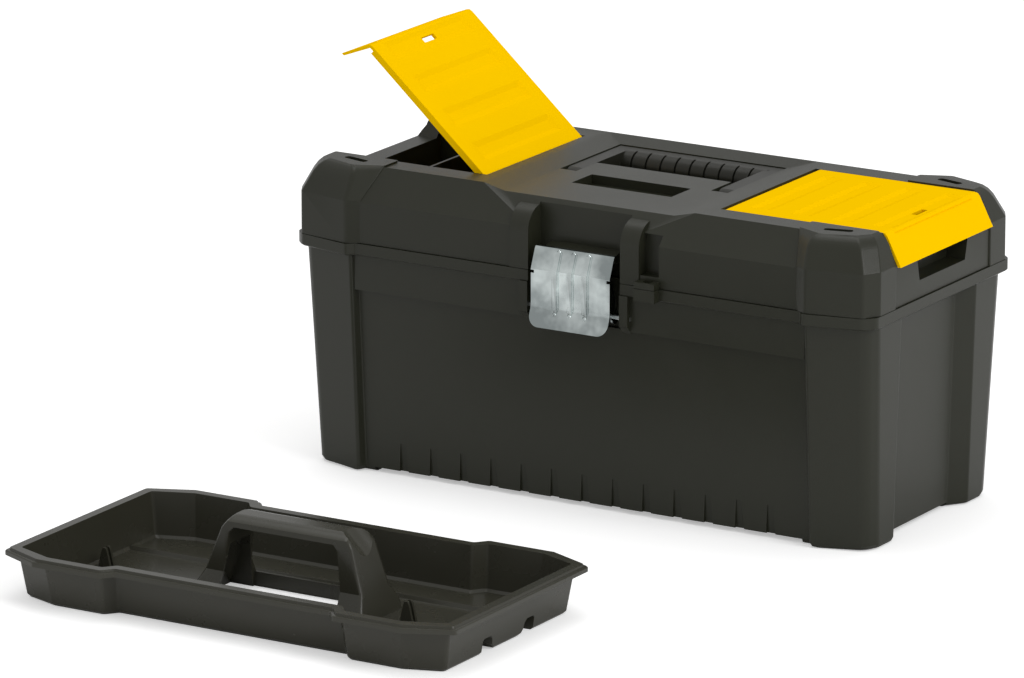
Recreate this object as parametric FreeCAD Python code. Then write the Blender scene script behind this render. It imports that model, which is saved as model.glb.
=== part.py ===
import FreeCAD, Part
import math
import os

Vec = FreeCAD.Vector

# Toolbox with tray, millimetres. The origin is the centre of the box's underside on the floor,
# +X runs along the box to its right end, +Y to its hinged back, +Z up. The latch is on the front.

# ---- driving dimensions: the box as a whole ----
length = 406.0                 # over the rim flange
rim_depth = 185.4              # front to back over the flange, between the corner posts
rim_height = 148.0             # floor to the parting line
box_height = 193.5             # floor to the lid's top face
pad_rise = 1.0                 # corner pads above the lid's top face
parting_gap = 0.3              # between the base's rim and the lid
wall = 2.6                     # moulded wall
fit_gap = 0.4                  # between mouldings that move past each other

# ---- base ----
flange_height = 7.5
flange_overhang = 3.0
band_height = 22.5             # plain band under the flange
band_step = 2.6                # band stands out from the front panel
taper_y = 8.8                  # the body narrows by this much a side towards the floor
taper_x = 3.8
foot_height = 3.0
floor_thickness = 3.0
post_inner_x = 157.0           # where the corner posts begin, from the middle
post_ramp = 2.2
post_depth = 5.8               # posts stand out from the front panel
post_slant = 9.2               # a post's face falls back by this much towards the end
post_corner = 3.8
post_corner_y = 9.5
end_recess = 8.2               # depth of the recess between the posts at each end
end_post_y = 47.0
end_panel_y = 35.5
foot_x = 151.0
foot_rounding = 3.4
post_radius = 2.0
corner_radius = 9.0

# ---- flutes along the foot of the front and back panels ----
flute_count = 13
flute_pitch = 21.6
flute_width = 6.4
flute_top_width = 3.6
flute_height = 18.0
flute_depth = 1.8

# ---- lid ----
lid_ledge = 1.2                # the base's flange shows this much around the lid
lid_post_out = 4.5             # lid posts stand out from its front face
lid_post_slant = 8.0
lid_post_corner = 6.5
lid_post_radius = 6.0
lid_crease = 26.0              # from the parting line up to the lower edge of the chamfer
lid_chamfer_y = 16.5
lid_chamfer_x = 8.8
lid_corner_x = 34.0            # the shell's corners are cut off behind the corner posts
lid_corner_y = 15.0
lid_corner_radius = 4.0
pad_lean = 9.0
pad_inner_lean = 9.0
pad_wall_y = 59.0              # pads begin here, from the middle
pad_slot_length = 18.0
pad_slot_width = 5.0
pad_slot_depth = 6.0
pad_slot_angle = 14.0

# ---- centre plate, dish and handle well ----
plate_half = 60.0
plate_drop = 3.5
plate_front_y = 70.5
plate_foot_half = 45.0         # the lowered chamfer narrows to this at its lower edge
dish_half = 35.0
dish_front_y = 36.5
dish_back_y = 11.5
dish_depth = 6.0
well_half = 57.6
well_front_y = -9.0
well_back_y = 60.5
well_depth = 26.0
tongue_half = 43.6             # plate between the handle's arms
tongue_back_y = 15.0

# ---- organisers in the lid ----
organiser_hinge_x = 86.0
organiser_half = 58.0          # half width of a yellow lid
organiser_sheet = 2.0
organiser_bend_x = 194.6
organiser_flap_drop = 20.0
organiser_flap_out = 10.4
organiser_skirt = 4.2
organiser_barrel_r = 2.9
organiser_pin_r = 1.5
organiser_pin_length = 2.6
organiser_ribs = 9
organiser_rib_height = 0.7
organiser_corner_radius = 5.0
organiser_open_angle = 41.5    # the left organiser's lid stands open by this much
catch_length = 14.0
catch_width = 4.0
bin_depth = 31.0
bin_margin = 3.0               # seat for the yellow lid's skirt round the bin
bin_inner_x = 90.5
bin_outer_x = 188.0
divider_x = 121.0
divider_thickness = 1.8
finger_half = 33.0             # finger recess under the flap
finger_half_low = 28.5
finger_height = 15.0
finger_depth = 9.0

# ---- handle ----
pivot_y = 0.0
pivot_drop = 9.0               # pivot axis below the lid's top face
arm_reach = 46.5
arm_width = 10.6
arm_height = 8.0
grip_radius = 8.6
grip_half = 41.0
grip_rings = 10
ring_depth = 1.0
ring_gap = 1.4
pivot_pin_r = 3.0
pivot_pin_length = 4.0
pin_clearance = 0.05

# ---- latch ----
latch_half = 27.6
latch_recess_half = 32.2
latch_sheet = 1.2
latch_face_y = 96.8            # front face of the plate, from the middle of the box
latch_pin_y = 89.6
latch_pin_z = 126.0
latch_pin_r = 1.5
latch_lip_z = 115.6
latch_lip_out = 4.3
latch_bend_z = 127.6
latch_crease_z = 150.6
latch_top_z = 164.0
latch_lean = 5.4
latch_hook = 2.6
latch_rib_pitch = 10.5
latch_rib_r = 1.5
latch_ear = 4.2
latch_recess_y = 83.0          # back of the recess in the base
lid_recess_y = 77.7            # back of the recess in the lid
ear_width = 5.8
ear_front_y = 93.6
cheek_width = 13.0
cheek_radius = 15.0
keeper_z = 157.0
keeper_height = 4.5

# ---- padlock eye ----
padlock_x = 52.0
padlock_y = 93.0
padlock_r = 3.2
eye_half = 7.2
eye_front_y = 98.0
channel_half = 6.6
channel_depth = 8.0
channel_top_z = 180.0
lid_eye_height = 4.0

# ---- rear hinges ----
hinge_x = 112.0
hinge_y = 98.4
hinge_barrel_r = 4.4
hinge_rod_r = 1.5
knuckle_width = 11.0
knuckle_gap = 0.5

# ---- tray ----
tray_x = -42.7                 # where the tray stands on the floor, beside the box
tray_y = -341.5
tray_half_length = 154.7
tray_half_depth = 86.0
tray_height = 28.5
tray_waist = 7.5               # the long sides step in by this much in the middle
tray_waist_half = 75.0
tray_waist_ramp = 6.0
tray_corner_x = 28.5
tray_corner_y = 13.0
tray_lip = 6.0
tray_skirt = 4.5
tray_wall = 2.0
tray_floor = 2.2
tray_draft = 4.5
tray_radius = 5.0
tray_handle_top = 48.0
tray_handle_half = 41.5
tray_handle_foot = 61.0
tray_grip_half = 13.5
tray_grip_foot_half = 20.0
tray_shell = 3.0
tray_rib_count = 4
tray_rib_height = 1.6
tray_notch_r = 5.5
tray_notch_y = 32.0
ledge_reach = 81.2             # shelf inside the base that carries the tray's lip
ledge_half = 150.0

# ---- worked out from the sizes above ----
half_length = length / 2
rim_y = rim_depth / 2
flange_z = rim_height - flange_height
band_z = flange_z - band_height
band_y = rim_y - flange_overhang
end_x_top = half_length - flange_overhang
panel_y_top = band_y - band_step
lid_z = rim_height + parting_gap
lid_half = half_length - lid_ledge
lid_y = rim_y - lid_ledge
crease_z = rim_height + lid_crease
plate_z = box_height - plate_drop
organiser_hinge_z = box_height - organiser_barrel_r
pivot_z = box_height - pivot_drop


def box(x_low, x_high, y_low, y_high, z_low, z_high):
    size = (x_high - x_low, y_high - y_low, z_high - z_low)
    return Part.makeBox(*size, Vec(x_low, y_low, z_low))


def fuse(shapes):
    return shapes[0].multiFuse(shapes[1:]).removeSplitter()


def mirror_x(shape):
    return shape.mirror(Vec(0, 0, 0), Vec(1, 0, 0))


def mirror_y(shape):
    return shape.mirror(Vec(0, 0, 0), Vec(0, 1, 0))


def both_ends(shape):
    return [shape, mirror_x(shape)]


def both_sides(shape):
    return [shape, mirror_y(shape)]


def four_corners(shape):
    return both_ends(shape) + [mirror_y(one) for one in both_ends(shape)]


def rod(x, y, z, radius, axis, span):
    return Part.makeCylinder(radius, span, Vec(x, y, z), axis)


def polygon(points):
    return Part.Face(Part.makePolygon(points + points[:1]))


def slab_z(outline, z_low, z_high):
    """A prism standing on an outline of (x, y) points."""
    return polygon([Vec(x, y, z_low) for x, y in outline]).extrude(Vec(0, 0, z_high - z_low))


def slab_x(outline, x_low, x_high):
    """A prism along X with an outline of (y, z) points."""
    return polygon([Vec(x_low, y, z) for y, z in outline]).extrude(Vec(x_high - x_low, 0, 0))


def slab_y(outline, y_low, y_high):
    """A prism along Y with an outline of (x, z) points."""
    return polygon([Vec(x, y_low, z) for x, z in outline]).extrude(Vec(0, y_high - y_low, 0))


def rounded_wire(corners, z):
    """A closed outline at one height; each corner is (x, y, radius)."""
    starts = []
    arcs = []
    for index, (x, y, radius) in enumerate(corners):
        here = Vec(x, y, z)
        before = Vec(*corners[index - 1][:2], z) - here
        after = Vec(*corners[(index + 1) % len(corners)][:2], z) - here
        before.normalize()
        after.normalize()
        half_angle = before.getAngle(after) / 2
        reach = radius / math.tan(half_angle)
        middle = before + after
        middle.normalize()
        nearest = here + middle * (radius / math.sin(half_angle) - radius)
        starts.append(here + before * reach)
        arcs.append(Part.Arc(here + before * reach, nearest, here + after * reach))
    edges = []
    for index, arc in enumerate(arcs):
        edges.append(arc.toShape())
        edges.append(Part.makeLine(arc.EndPoint, starts[(index + 1) % len(arcs)]))
    return Part.Wire(edges)


def all_round(quarter):
    """Four mirrored copies of a quarter outline, in order round the whole."""
    right_back = list(reversed(quarter))
    right = [(x, -y, radius) for x, y, radius in quarter] + right_back
    left = [(-x, y, radius) for x, y, radius in reversed(right)]
    return right + left


def sections(outlines):
    """A solid through outlines of (corners, height), with straight sides between them."""
    return Part.makeLoft([rounded_wire(corners, z) for corners, z in outlines], True, True)


# ---- base ----

def body_plan(z, inset=0.0):
    """Outline of the base's body at a height, moved into the material by inset."""
    share = 1 - z / flange_z
    panel_y = panel_y_top - taper_y * share - inset
    end_x = end_x_top - taper_x * share - inset
    post_y = panel_y + post_depth
    ramp_x = post_inner_x + inset
    return all_round([
        (ramp_x, panel_y, 1.0),
        (ramp_x + post_ramp, post_y, post_radius),
        (end_x - post_corner, post_y - post_slant, corner_radius),
        (end_x, post_y - post_slant - post_corner_y, corner_radius),
        (end_x, end_post_y + inset / 2, 3.0),
        (end_x - end_recess, end_panel_y + inset / 2, 3.0),
    ])


def rim_plan(outset=0.0):
    """Outline of the flange at the base's rim."""
    post_y = rim_y + lid_post_out + outset
    end_x = half_length + outset
    return all_round([
        (post_inner_x - 1, rim_y + outset, 1.0),
        (post_inner_x + 3, post_y, post_radius),
        (end_x - lid_post_corner, post_y - lid_post_slant, lid_post_radius),
        (end_x, post_y - lid_post_slant - lid_post_corner, lid_post_radius),
    ])


def base_outside():
    rounding = foot_rounding
    body = sections([
        (body_plan(0, rounding), 0),
        (body_plan(rounding * 0.3, rounding * 0.3), rounding * 0.3),
        (body_plan(rounding), rounding),
        (body_plan(flange_z + 1), flange_z + 1),
    ])
    band = box(-post_inner_x - 1, post_inner_x + 1, panel_y_top - 6, band_y, band_z, flange_z + 1)
    flange = sections([
        (rim_plan(-0.8), flange_z),
        (rim_plan(), flange_z + 0.8),
        (rim_plan(), rim_height),
    ])
    return [body, flange] + both_sides(band)


def latch_ears():
    """Two ears that flank the latch and carry its pin."""
    low = band_z - 1
    blend = 5.0
    outline = [
        (-latch_recess_y, low),
        (-ear_front_y + blend, low),
        (-ear_front_y, low + blend),
        (-ear_front_y, flange_z + 0.5),
        (-latch_recess_y, flange_z + 0.5),
    ]
    ear = slab_x(outline, latch_recess_half, latch_recess_half + ear_width)
    return both_ends(ear)


def padlock_tab():
    inner = rim_y - 3
    return box(padlock_x - eye_half, padlock_x + eye_half, -eye_front_y, -inner,
               flange_z, rim_height)


def knuckle(x_low, x_high, wall_z_low, wall_z_high):
    """A hinge knuckle: a barrel on the hinge axis with an arm to the back wall."""
    barrel = rod(x_low, hinge_y, rim_height, hinge_barrel_r, Vec(1, 0, 0), x_high - x_low)
    top = (wall_z_low + wall_z_high) / 2 > rim_height
    reach = hinge_barrel_r if top else -hinge_barrel_r
    arm = slab_x([
        (rim_y - 4, wall_z_low),
        (rim_y - 4, wall_z_high),
        (hinge_y, rim_height + max(reach, 0)),
        (hinge_y, rim_height + min(reach, 0)),
    ], x_low, x_high)
    return barrel.fuse(arm)


def base_knuckles():
    """Each hinge has two base knuckles with one lid knuckle between them."""
    inner = hinge_x - knuckle_width * 1.5 - knuckle_gap
    outer = hinge_x + knuckle_width * 0.5 + knuckle_gap
    shapes = []
    for low in (inner, outer):
        shapes += both_ends(knuckle(low, low + knuckle_width, flange_z + 0.5, rim_height))
    return shapes


def lid_knuckles():
    low = hinge_x - knuckle_width * 0.5
    return both_ends(knuckle(low, low + knuckle_width, lid_z, lid_z + 7))


def hinge_bores():
    reach = knuckle_width * 1.5 + knuckle_gap
    bore = rod(hinge_x - reach - 1, hinge_y, rim_height, hinge_rod_r + pin_clearance,
               Vec(1, 0, 0), 2 * reach + 2)
    return both_ends(bore)


def hinge_rod(sign):
    reach = knuckle_width * 1.5 + knuckle_gap
    return rod(sign * hinge_x - reach, hinge_y, rim_height, hinge_rod_r, Vec(1, 0, 0), 2 * reach)


def base_cavity():
    floor_z = foot_height + floor_thickness
    main = sections([
        (body_plan(floor_z, wall), floor_z),
        (body_plan(rim_height + 1, wall), rim_height + 1),
    ])
    rim_low = band_z + wall
    rim = box(-post_inner_x, post_inner_x, -band_y + wall, band_y - wall, rim_low, rim_height + 1)
    return main.fuse(rim)


def tray_ledges():
    """Shelves on the front and back walls for the tray's lip, each on a row of gussets."""
    top = band_z + 0.5
    shelf = box(-ledge_half, ledge_half, ledge_reach, panel_y_top - 0.5, top - wall, top)
    shapes = [shelf]
    count = 5
    for index in range(count):
        x = (index - (count - 1) / 2) * ledge_half * 2 / count
        gusset = slab_x([
            (ledge_reach + 0.5, top - wall),
            (panel_y_top - 0.5, top - wall),
            (panel_y_top - 1.5, top - wall - 9),
        ], x - 1, x + 1)
        shapes.append(gusset)
    return both_sides(fuse(shapes))


def latch_pocket_wall():
    half = latch_recess_half + ear_width
    low = band_z - wall
    return box(-half, half, -panel_y_top - 1, -latch_recess_y + wall, low, rim_height)


def flute(x, side):
    """A groove that is widest and deepest at the panel's foot."""
    low = foot_height - 0.5
    high = foot_height + flute_height
    levels = ((low, flute_width, flute_depth), (high, flute_top_width, 0.3))
    wires = []
    for z, width, depth in levels:
        face_y = panel_y_top - taper_y * (1 - z / flange_z)
        near = side * (face_y - depth)
        far = side * (face_y + 3)
        outline = [(-width / 2, near), (width / 2, near), (width / 2, far), (-width / 2, far)]
        points = [Vec(x + dx, y, z) for dx, y in outline]
        wires.append(Part.makePolygon(points + points[:1]))
    return Part.makeLoft(wires, True, True)


def flutes():
    shapes = []
    for index in range(flute_count):
        x = (index - (flute_count - 1) / 2) * flute_pitch
        shapes.append(flute(x, -1))
        shapes.append(flute(x, 1))
    return shapes


def padlock_bore():
    return rod(padlock_x, -padlock_y, band_z, padlock_r, Vec(0, 0, 1), box_height - band_z)


def latch_pin_line(radius):
    half = latch_recess_half + ear_width
    return rod(-half, -latch_pin_y, latch_pin_z, radius, Vec(1, 0, 0), 2 * half)


def make_base_shell():
    outside = fuse(base_outside() + latch_ears() + [padlock_tab()])
    inside = base_cavity().cut(fuse(tray_ledges() + [latch_pocket_wall()]))
    half = latch_recess_half
    recess = box(-half, half, -ear_front_y - 5, -latch_recess_y, band_z, rim_height + 1)
    under_long = box(-foot_x, foot_x, -rim_y, rim_y, -1, foot_height)
    under_wide = box(-half_length, half_length, -end_panel_y, end_panel_y, -1, foot_height)
    shell = outside.cut(inside)
    shell = shell.multiFuse(base_knuckles())
    pin_bore = latch_pin_line(latch_pin_r + pin_clearance)
    cuts = [recess, under_long, under_wide, padlock_bore(), pin_bore]
    return shell.cut(cuts + hinge_bores() + flutes())


# ---- lid ----

def lid_plan(x, y):
    """Outline of the lid between its corner posts, with the corners cut off."""
    return all_round([
        (x - lid_corner_x, y, lid_corner_radius),
        (x, y - lid_corner_y, lid_corner_radius),
    ])


def lid_core():
    top_x = lid_half - lid_chamfer_x
    top_y = lid_y - lid_chamfer_y
    return sections([
        (lid_plan(lid_half, lid_y), lid_z),
        (lid_plan(lid_half, lid_y), crease_z),
        (lid_plan(top_x, top_y), box_height),
    ])


def pad_plan(lean, inset=0.0):
    """Outline of the front right corner post of the lid; lean goes from 0 to 1 at its top."""
    front = lid_y + lid_post_out - pad_lean * lean - inset
    end_x = lid_half - lid_chamfer_x * lean - inset
    inner = post_inner_x - 1 - pad_inner_lean * lean + inset
    back = pad_wall_y + inset
    return [
        (inner, -back, 1.0),
        (inner, -front + lid_post_out + 4 * lean, 1.0),
        (inner + 4, -front, post_radius),
        (end_x - lid_post_corner, -front + lid_post_slant, lid_post_radius),
        (end_x, -front + lid_post_slant + lid_post_corner, lid_post_radius),
        (end_x, -back, 1.0),
    ]


def lid_pads():
    top = box_height + pad_rise
    post = sections([
        (pad_plan(0), lid_z),
        (pad_plan(0), crease_z + 2),
        (pad_plan(0.94), top - 1.4),
        (pad_plan(0.97, 0.4), top - 0.4),
        (pad_plan(1, 1.4), top),
    ])
    return four_corners(post)


def pad_slots():
    """A slot sunk in each pad, lined up with the slanted face of its post."""
    end = pad_slot_length / 2 - pad_slot_width / 2
    x = (post_inner_x + lid_half) / 2 - 8
    y = -(lid_y + lid_post_out) / 2 - 28
    depth = pad_slot_depth + pad_rise
    z = box_height - pad_slot_depth
    middle = box(-end, end, -pad_slot_width / 2, pad_slot_width / 2, 0, depth + 1)
    ends = [rod(side * end, 0, 0, pad_slot_width / 2, Vec(0, 0, 1), depth + 1)
            for side in (-1, 1)]
    slot = fuse([middle] + ends)
    slot.rotate(Vec(0, 0, 0), Vec(0, 0, 1), pad_slot_angle)
    slot.translate(Vec(x, y, z))
    return four_corners(slot)


def plate_cut():
    """Lowers the middle of the lid, with a chamfer that narrows towards the latch."""
    foot = lid_y + 0.01
    profile = slab_x([
        (-foot, crease_z),
        (-plate_front_y, plate_z),
        (well_back_y, plate_z),
        (well_back_y, box_height + 5),
        (-foot, box_height + 5),
    ], -plate_half - 5, plate_half + 5)
    plan = slab_z([
        (-plate_foot_half, -foot - 0.01),
        (plate_foot_half, -foot - 0.01),
        (plate_half, -plate_front_y),
        (plate_half, well_front_y),
        (-plate_half, well_front_y),
        (-plate_half, -plate_front_y),
    ], crease_z - 5, box_height + 6)
    return profile.common(plan)


def latch_cheeks():
    """Rounded shoulders on both sides of the latch recess."""
    low = crease_z - 3
    front = -lid_y - 1.0
    reach = cheek_radius
    start = Vec(0, front, low)
    end = Vec(0, front + reach, low + reach)
    corner = Vec(0, front + reach * (1 - math.sqrt(0.5)), low + reach * math.sqrt(0.5))
    arc = Part.Arc(start, corner, end).toShape()
    back = -lid_recess_y + 8
    points = [end, Vec(0, back, low + reach), Vec(0, back, lid_z), Vec(0, front, lid_z), start]
    lines = [Part.makeLine(points[i], points[i + 1]) for i in range(len(points) - 1)]
    face = Part.Face(Part.Wire([arc] + lines))
    cheek = face.extrude(Vec(cheek_width, 0, 0))
    cheek.translate(Vec(latch_recess_half, 0, 0))
    return both_ends(cheek)


def organiser_opening(sign):
    """Seat for a yellow lid and the bin below it."""
    low_x = organiser_hinge_x - organiser_barrel_r - fit_gap * 3
    seat_half = organiser_half + fit_gap
    seat_z = box_height - organiser_skirt - fit_gap
    bend_x = organiser_bend_x
    seat_y = (-seat_half, seat_half)
    seat = slab_y([
        (low_x, seat_z - 2),
        (low_x + 8, seat_z - 2),
        (low_x + 8, seat_z),
        (bend_x - 2, seat_z),
        (bend_x - 1.5, box_height - organiser_sheet - fit_gap),
        (lid_half + 1, flap_line(lid_half + 1) - organiser_sheet * 1.4 - fit_gap),
        (lid_half + 5, box_height + 3),
        (low_x, box_height + 3),
    ], *seat_y)
    bin_half = organiser_half - bin_margin
    floor_z = box_height - bin_depth
    hollow = box(bin_inner_x, bin_outer_x, -bin_half, bin_half, floor_z, box_height)
    divider = box(divider_x - divider_thickness / 2, divider_x + divider_thickness / 2,
                  -bin_half - 1, bin_half + 1, floor_z - 1, seat_z - 1)
    shape = seat.fuse(hollow.cut(divider))
    return shape if sign > 0 else mirror_x(shape)


def flap_line(x):
    """Height of the flap's outer face at a distance from the middle."""
    slope = organiser_flap_drop / organiser_flap_out
    return box_height - (x - organiser_bend_x) * slope


def finger_recess(sign):
    """A recess in the end wall that lets a fingertip under the flap."""
    top = crease_z + 4
    low = top - 4 - finger_height
    outline = [(-finger_half, top), (-finger_half_low, low), (finger_half_low, low),
               (finger_half, top)]
    shape = slab_x(outline, lid_half - finger_depth, lid_half + 1)
    return shape if sign > 0 else mirror_x(shape)


def organiser_pin_bores():
    half = organiser_half + organiser_pin_length + 0.5
    bore = rod(organiser_hinge_x, -half, organiser_hinge_z, organiser_pin_r + pin_clearance,
               Vec(0, 1, 0), 2 * half)
    return both_ends(bore)


def handle_well():
    well = box(-well_half, well_half, well_front_y, well_back_y,
               box_height - well_depth, box_height + 1)
    tongue = box(-tongue_half, tongue_half, well_front_y - 1, tongue_back_y,
                 box_height - well_depth - 1, plate_z)
    return well.cut(tongue)


def dish():
    return box(-dish_half, dish_half, -dish_front_y, -dish_back_y,
               plate_z - dish_depth, box_height)


def pivot_bores():
    """Blind bores in the sides of the well for the handle's pins."""
    bore = rod(well_half - 1, pivot_y, pivot_z, pivot_pin_r + pin_clearance, Vec(1, 0, 0),
               pivot_pin_length + 1.5)
    return both_ends(bore)


def block_round(x_low, x_high, y_low, y_high, z_low, z_high):
    """A box grown by the wall on its sides and underneath."""
    return box(x_low - wall, x_high + wall, y_low - wall, y_high + wall, z_low - wall, z_high)


def bin_blocks():
    """Walls round one organiser bin, its seat, its hinge and its finger recess."""
    low_x = organiser_hinge_x - organiser_barrel_r - fit_gap * 3
    bin_half = organiser_half - bin_margin
    seat_half = organiser_half + fit_gap
    seat_z = box_height - organiser_skirt - fit_gap
    pin_half = organiser_half + organiser_pin_length
    recess_low = crease_z - finger_height
    return [
        block_round(bin_inner_x, bin_outer_x, -bin_half, bin_half, box_height - bin_depth,
                    box_height),
        block_round(low_x, lid_half, -seat_half, seat_half, seat_z - 2, box_height),
        block_round(low_x, low_x + 8, -pin_half, pin_half, organiser_hinge_z - 4, box_height),
        block_round(lid_half - finger_depth, lid_half, -finger_half, finger_half, recess_low,
                    seat_z),
    ]


def well_walls():
    """Walls round the handle's well; the tongue between its arms is hollow from below."""
    block = block_round(-well_half - pivot_pin_length, well_half + pivot_pin_length,
                        well_front_y, well_back_y, box_height - well_depth, box_height)
    tongue_space = box(-tongue_half + wall, tongue_half - wall, well_front_y, tongue_back_y - wall,
                       lid_z, plate_z - wall)
    return block.cut(tongue_space)


def post_hollow():
    """Space inside one corner post, open to the space under the lid."""
    top = box_height - pad_slot_depth - wall
    return sections([
        (pad_plan(0, wall), lid_z - 1),
        (pad_plan(0, wall), crease_z),
        (pad_plan(0.5, wall), top),
    ])


def lid_hollow():
    """Space under the lid, round the outsides of its bins, well and recesses."""
    top_z = plate_z - wall
    side_y = lid_y - wall
    side_x = lid_half - wall
    space = fuse([sections([
        (lid_plan(side_x, side_y), lid_z - 1),
        (lid_plan(side_x, side_y), crease_z - wall),
        (lid_plan(side_x - lid_chamfer_x, side_y - lid_chamfer_y), top_z),
    ])] + four_corners(post_hollow()))
    dish_block = block_round(-dish_half, dish_half, -dish_front_y, -dish_back_y,
                             plate_z - dish_depth, box_height)
    recess_block = block_round(-latch_recess_half, latch_recess_half, -rim_y, -lid_recess_y,
                               lid_z, box_height)
    channel_block = block_round(padlock_x - channel_half, padlock_x + channel_half, -rim_y,
                                -lid_y + channel_depth, lid_z, channel_top_z + wall)
    organisers = [one for block in bin_blocks() for one in both_ends(block)]
    return space.cut(organisers + [well_walls(), dish_block, recess_block, channel_block])


def latch_recess_in_lid():
    half = latch_recess_half
    return box(-half, half, -lid_y - 10, -lid_recess_y, lid_z - 1, box_height + 1)


def latch_keeper():
    """Ridge that the latch's rolled edge closes against."""
    front = latch_face_y - latch_lean - latch_hook - fit_gap
    outline = [
        (-lid_recess_y + 1, keeper_z),
        (-lid_recess_y + 1, keeper_z + keeper_height + 3),
        (-front + 1, keeper_z + keeper_height),
        (-front, keeper_z + keeper_height - 1),
        (-front, keeper_z + 1),
    ]
    half = latch_half - 3
    return slab_x(outline, -half, half)


def padlock_channel():
    return box(padlock_x - channel_half, padlock_x + channel_half, -lid_y - 10,
               -lid_y + channel_depth, lid_z + lid_eye_height, channel_top_z)


def lid_eye():
    return box(padlock_x - eye_half, padlock_x + eye_half, -eye_front_y, -lid_y + 2,
               lid_z, lid_z + lid_eye_height)


def make_lid_shell():
    outside = fuse([lid_core()] + lid_pads() + latch_cheeks())
    outside = outside.cut([plate_cut(), latch_recess_in_lid(), padlock_channel()])
    outside = outside.multiFuse([lid_eye(), latch_keeper()] + lid_knuckles())
    cuts = [lid_hollow(), handle_well(), dish(), padlock_bore()]
    cuts += pivot_bores() + pad_slots() + organiser_pin_bores() + hinge_bores()
    for sign in (-1, 1):
        cuts += [organiser_opening(sign), finger_recess(sign)]
    return outside.cut(cuts)


# ---- organiser lids ----

def organiser_section():
    """The right organiser lid's section: a corrugated top that bends down into a flap."""
    top = box_height
    sheet = organiser_sheet
    start = organiser_hinge_x + 5
    end = organiser_bend_x - 12
    pitch = (end - start) / organiser_ribs
    upper = [(organiser_hinge_x, top)]
    for index in range(organiser_ribs):
        x = start + index * pitch
        upper.append((x, top))
        upper.append((x + pitch * 0.8, top - organiser_rib_height))
    upper.append((end, top))
    upper.append((organiser_bend_x, top))
    tip_x = organiser_bend_x + organiser_flap_out
    upper.append((tip_x, top - organiser_flap_drop))
    lower = [
        (tip_x - sheet, top - organiser_flap_drop),
        (organiser_bend_x - 1.2, top - sheet),
        (organiser_hinge_x, top - sheet),
    ]
    return upper + lower


def organiser_end_view():
    """The flap's outline seen from the end of the box, with its lower corners rounded."""
    low = box_height - organiser_flap_drop
    high = box_height + organiser_sheet
    half = organiser_half
    outline = rounded_wire([
        (low, -half, organiser_corner_radius),
        (high, -half, 0.5),
        (high, half, 0.5),
        (low, half, organiser_corner_radius),
    ], 0)
    block = Part.Face(outline).extrude(Vec(0, 0, length))
    block.rotate(Vec(0, 0, 0), Vec(0, 1, 0), -90)
    block.translate(Vec(length, 0, 0))
    return block


def make_organiser_lid(angle):
    """The right organiser lid, opened by an angle about its hinge pins."""
    half = organiser_half
    sheet = slab_y(organiser_section(), -half, half).common(organiser_end_view())
    barrel = rod(organiser_hinge_x, -half, organiser_hinge_z, organiser_barrel_r,
                 Vec(0, 1, 0), 2 * half)
    skirt_x = organiser_bend_x - 4
    skirt = box(organiser_hinge_x, skirt_x, -half, -half + organiser_sheet,
                box_height - organiser_skirt, box_height - organiser_rib_height - 0.1)
    pin_half = half + organiser_pin_length
    pins = rod(organiser_hinge_x, -pin_half, organiser_hinge_z, organiser_pin_r,
               Vec(0, 1, 0), 2 * pin_half)
    middle = (organiser_bend_x - 9, 0)
    catch = box(middle[0] - catch_width / 2, middle[0] + catch_width / 2,
                -catch_length / 2, catch_length / 2, box_height - 5, box_height + 1)
    shape = fuse([sheet, barrel, pins] + both_sides(skirt)).cut(catch)
    hinge = Vec(organiser_hinge_x, 0, organiser_hinge_z)
    shape.rotate(hinge, Vec(0, -1, 0), angle)
    return shape


# ---- handle ----

def grip():
    """A round grip with rings cut into it."""
    half = well_half - fit_gap * 2
    grip_y = pivot_y + arm_reach
    shaft = rod(-half, grip_y, pivot_z, grip_radius - ring_depth, Vec(1, 0, 0), 2 * half)
    pitch = 2 * grip_half / grip_rings
    rings = []
    for index in range(grip_rings):
        low = -grip_half + index * pitch + ring_gap / 2
        ring = rod(low, grip_y, pivot_z, grip_radius, Vec(1, 0, 0), pitch - ring_gap)
        edges = [edge for edge in ring.Edges if edge.Closed]
        rings.append(ring.makeChamfer(ring_depth * 0.5, edges))
    return fuse([shaft] + rings)


def handle_arm():
    outer = well_half - fit_gap * 2
    grip_y = pivot_y + arm_reach
    eye = rod(outer - arm_width, pivot_y, pivot_z, arm_height / 2 + 1.5, Vec(1, 0, 0), arm_width)
    low = pivot_z - arm_height / 2
    high = pivot_z + arm_height / 2 + 0.5
    arm = box(outer - arm_width, outer, pivot_y, grip_y, low, high)
    knob = rod(outer - arm_width, grip_y, pivot_z, grip_radius, Vec(1, 0, 0), arm_width)
    pin = rod(outer - 1, pivot_y, pivot_z, pivot_pin_r, Vec(1, 0, 0), pivot_pin_length + 1)
    return fuse([eye, arm, knob, pin])


def make_handle():
    return fuse([grip()] + both_ends(handle_arm()))


# ---- latch ----

def sheet_strip(points, thickness):
    """Outline of a bent sheet: its front points and the same line moved back by a thickness."""
    normals = []
    for index in range(len(points) - 1):
        dy = points[index + 1][0] - points[index][0]
        dz = points[index + 1][1] - points[index][1]
        size = math.hypot(dy, dz)
        normals.append((dz / size, -dy / size))
    back = []
    for index, (y, z) in enumerate(points):
        first = normals[max(index - 1, 0)]
        second = normals[min(index, len(normals) - 1)]
        dot = first[0] * second[0] + first[1] * second[1]
        scale = thickness / (1 + dot)
        back.append((y + (first[0] + second[0]) * scale, z + (first[1] + second[1]) * scale))
    return points + list(reversed(back))


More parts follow.
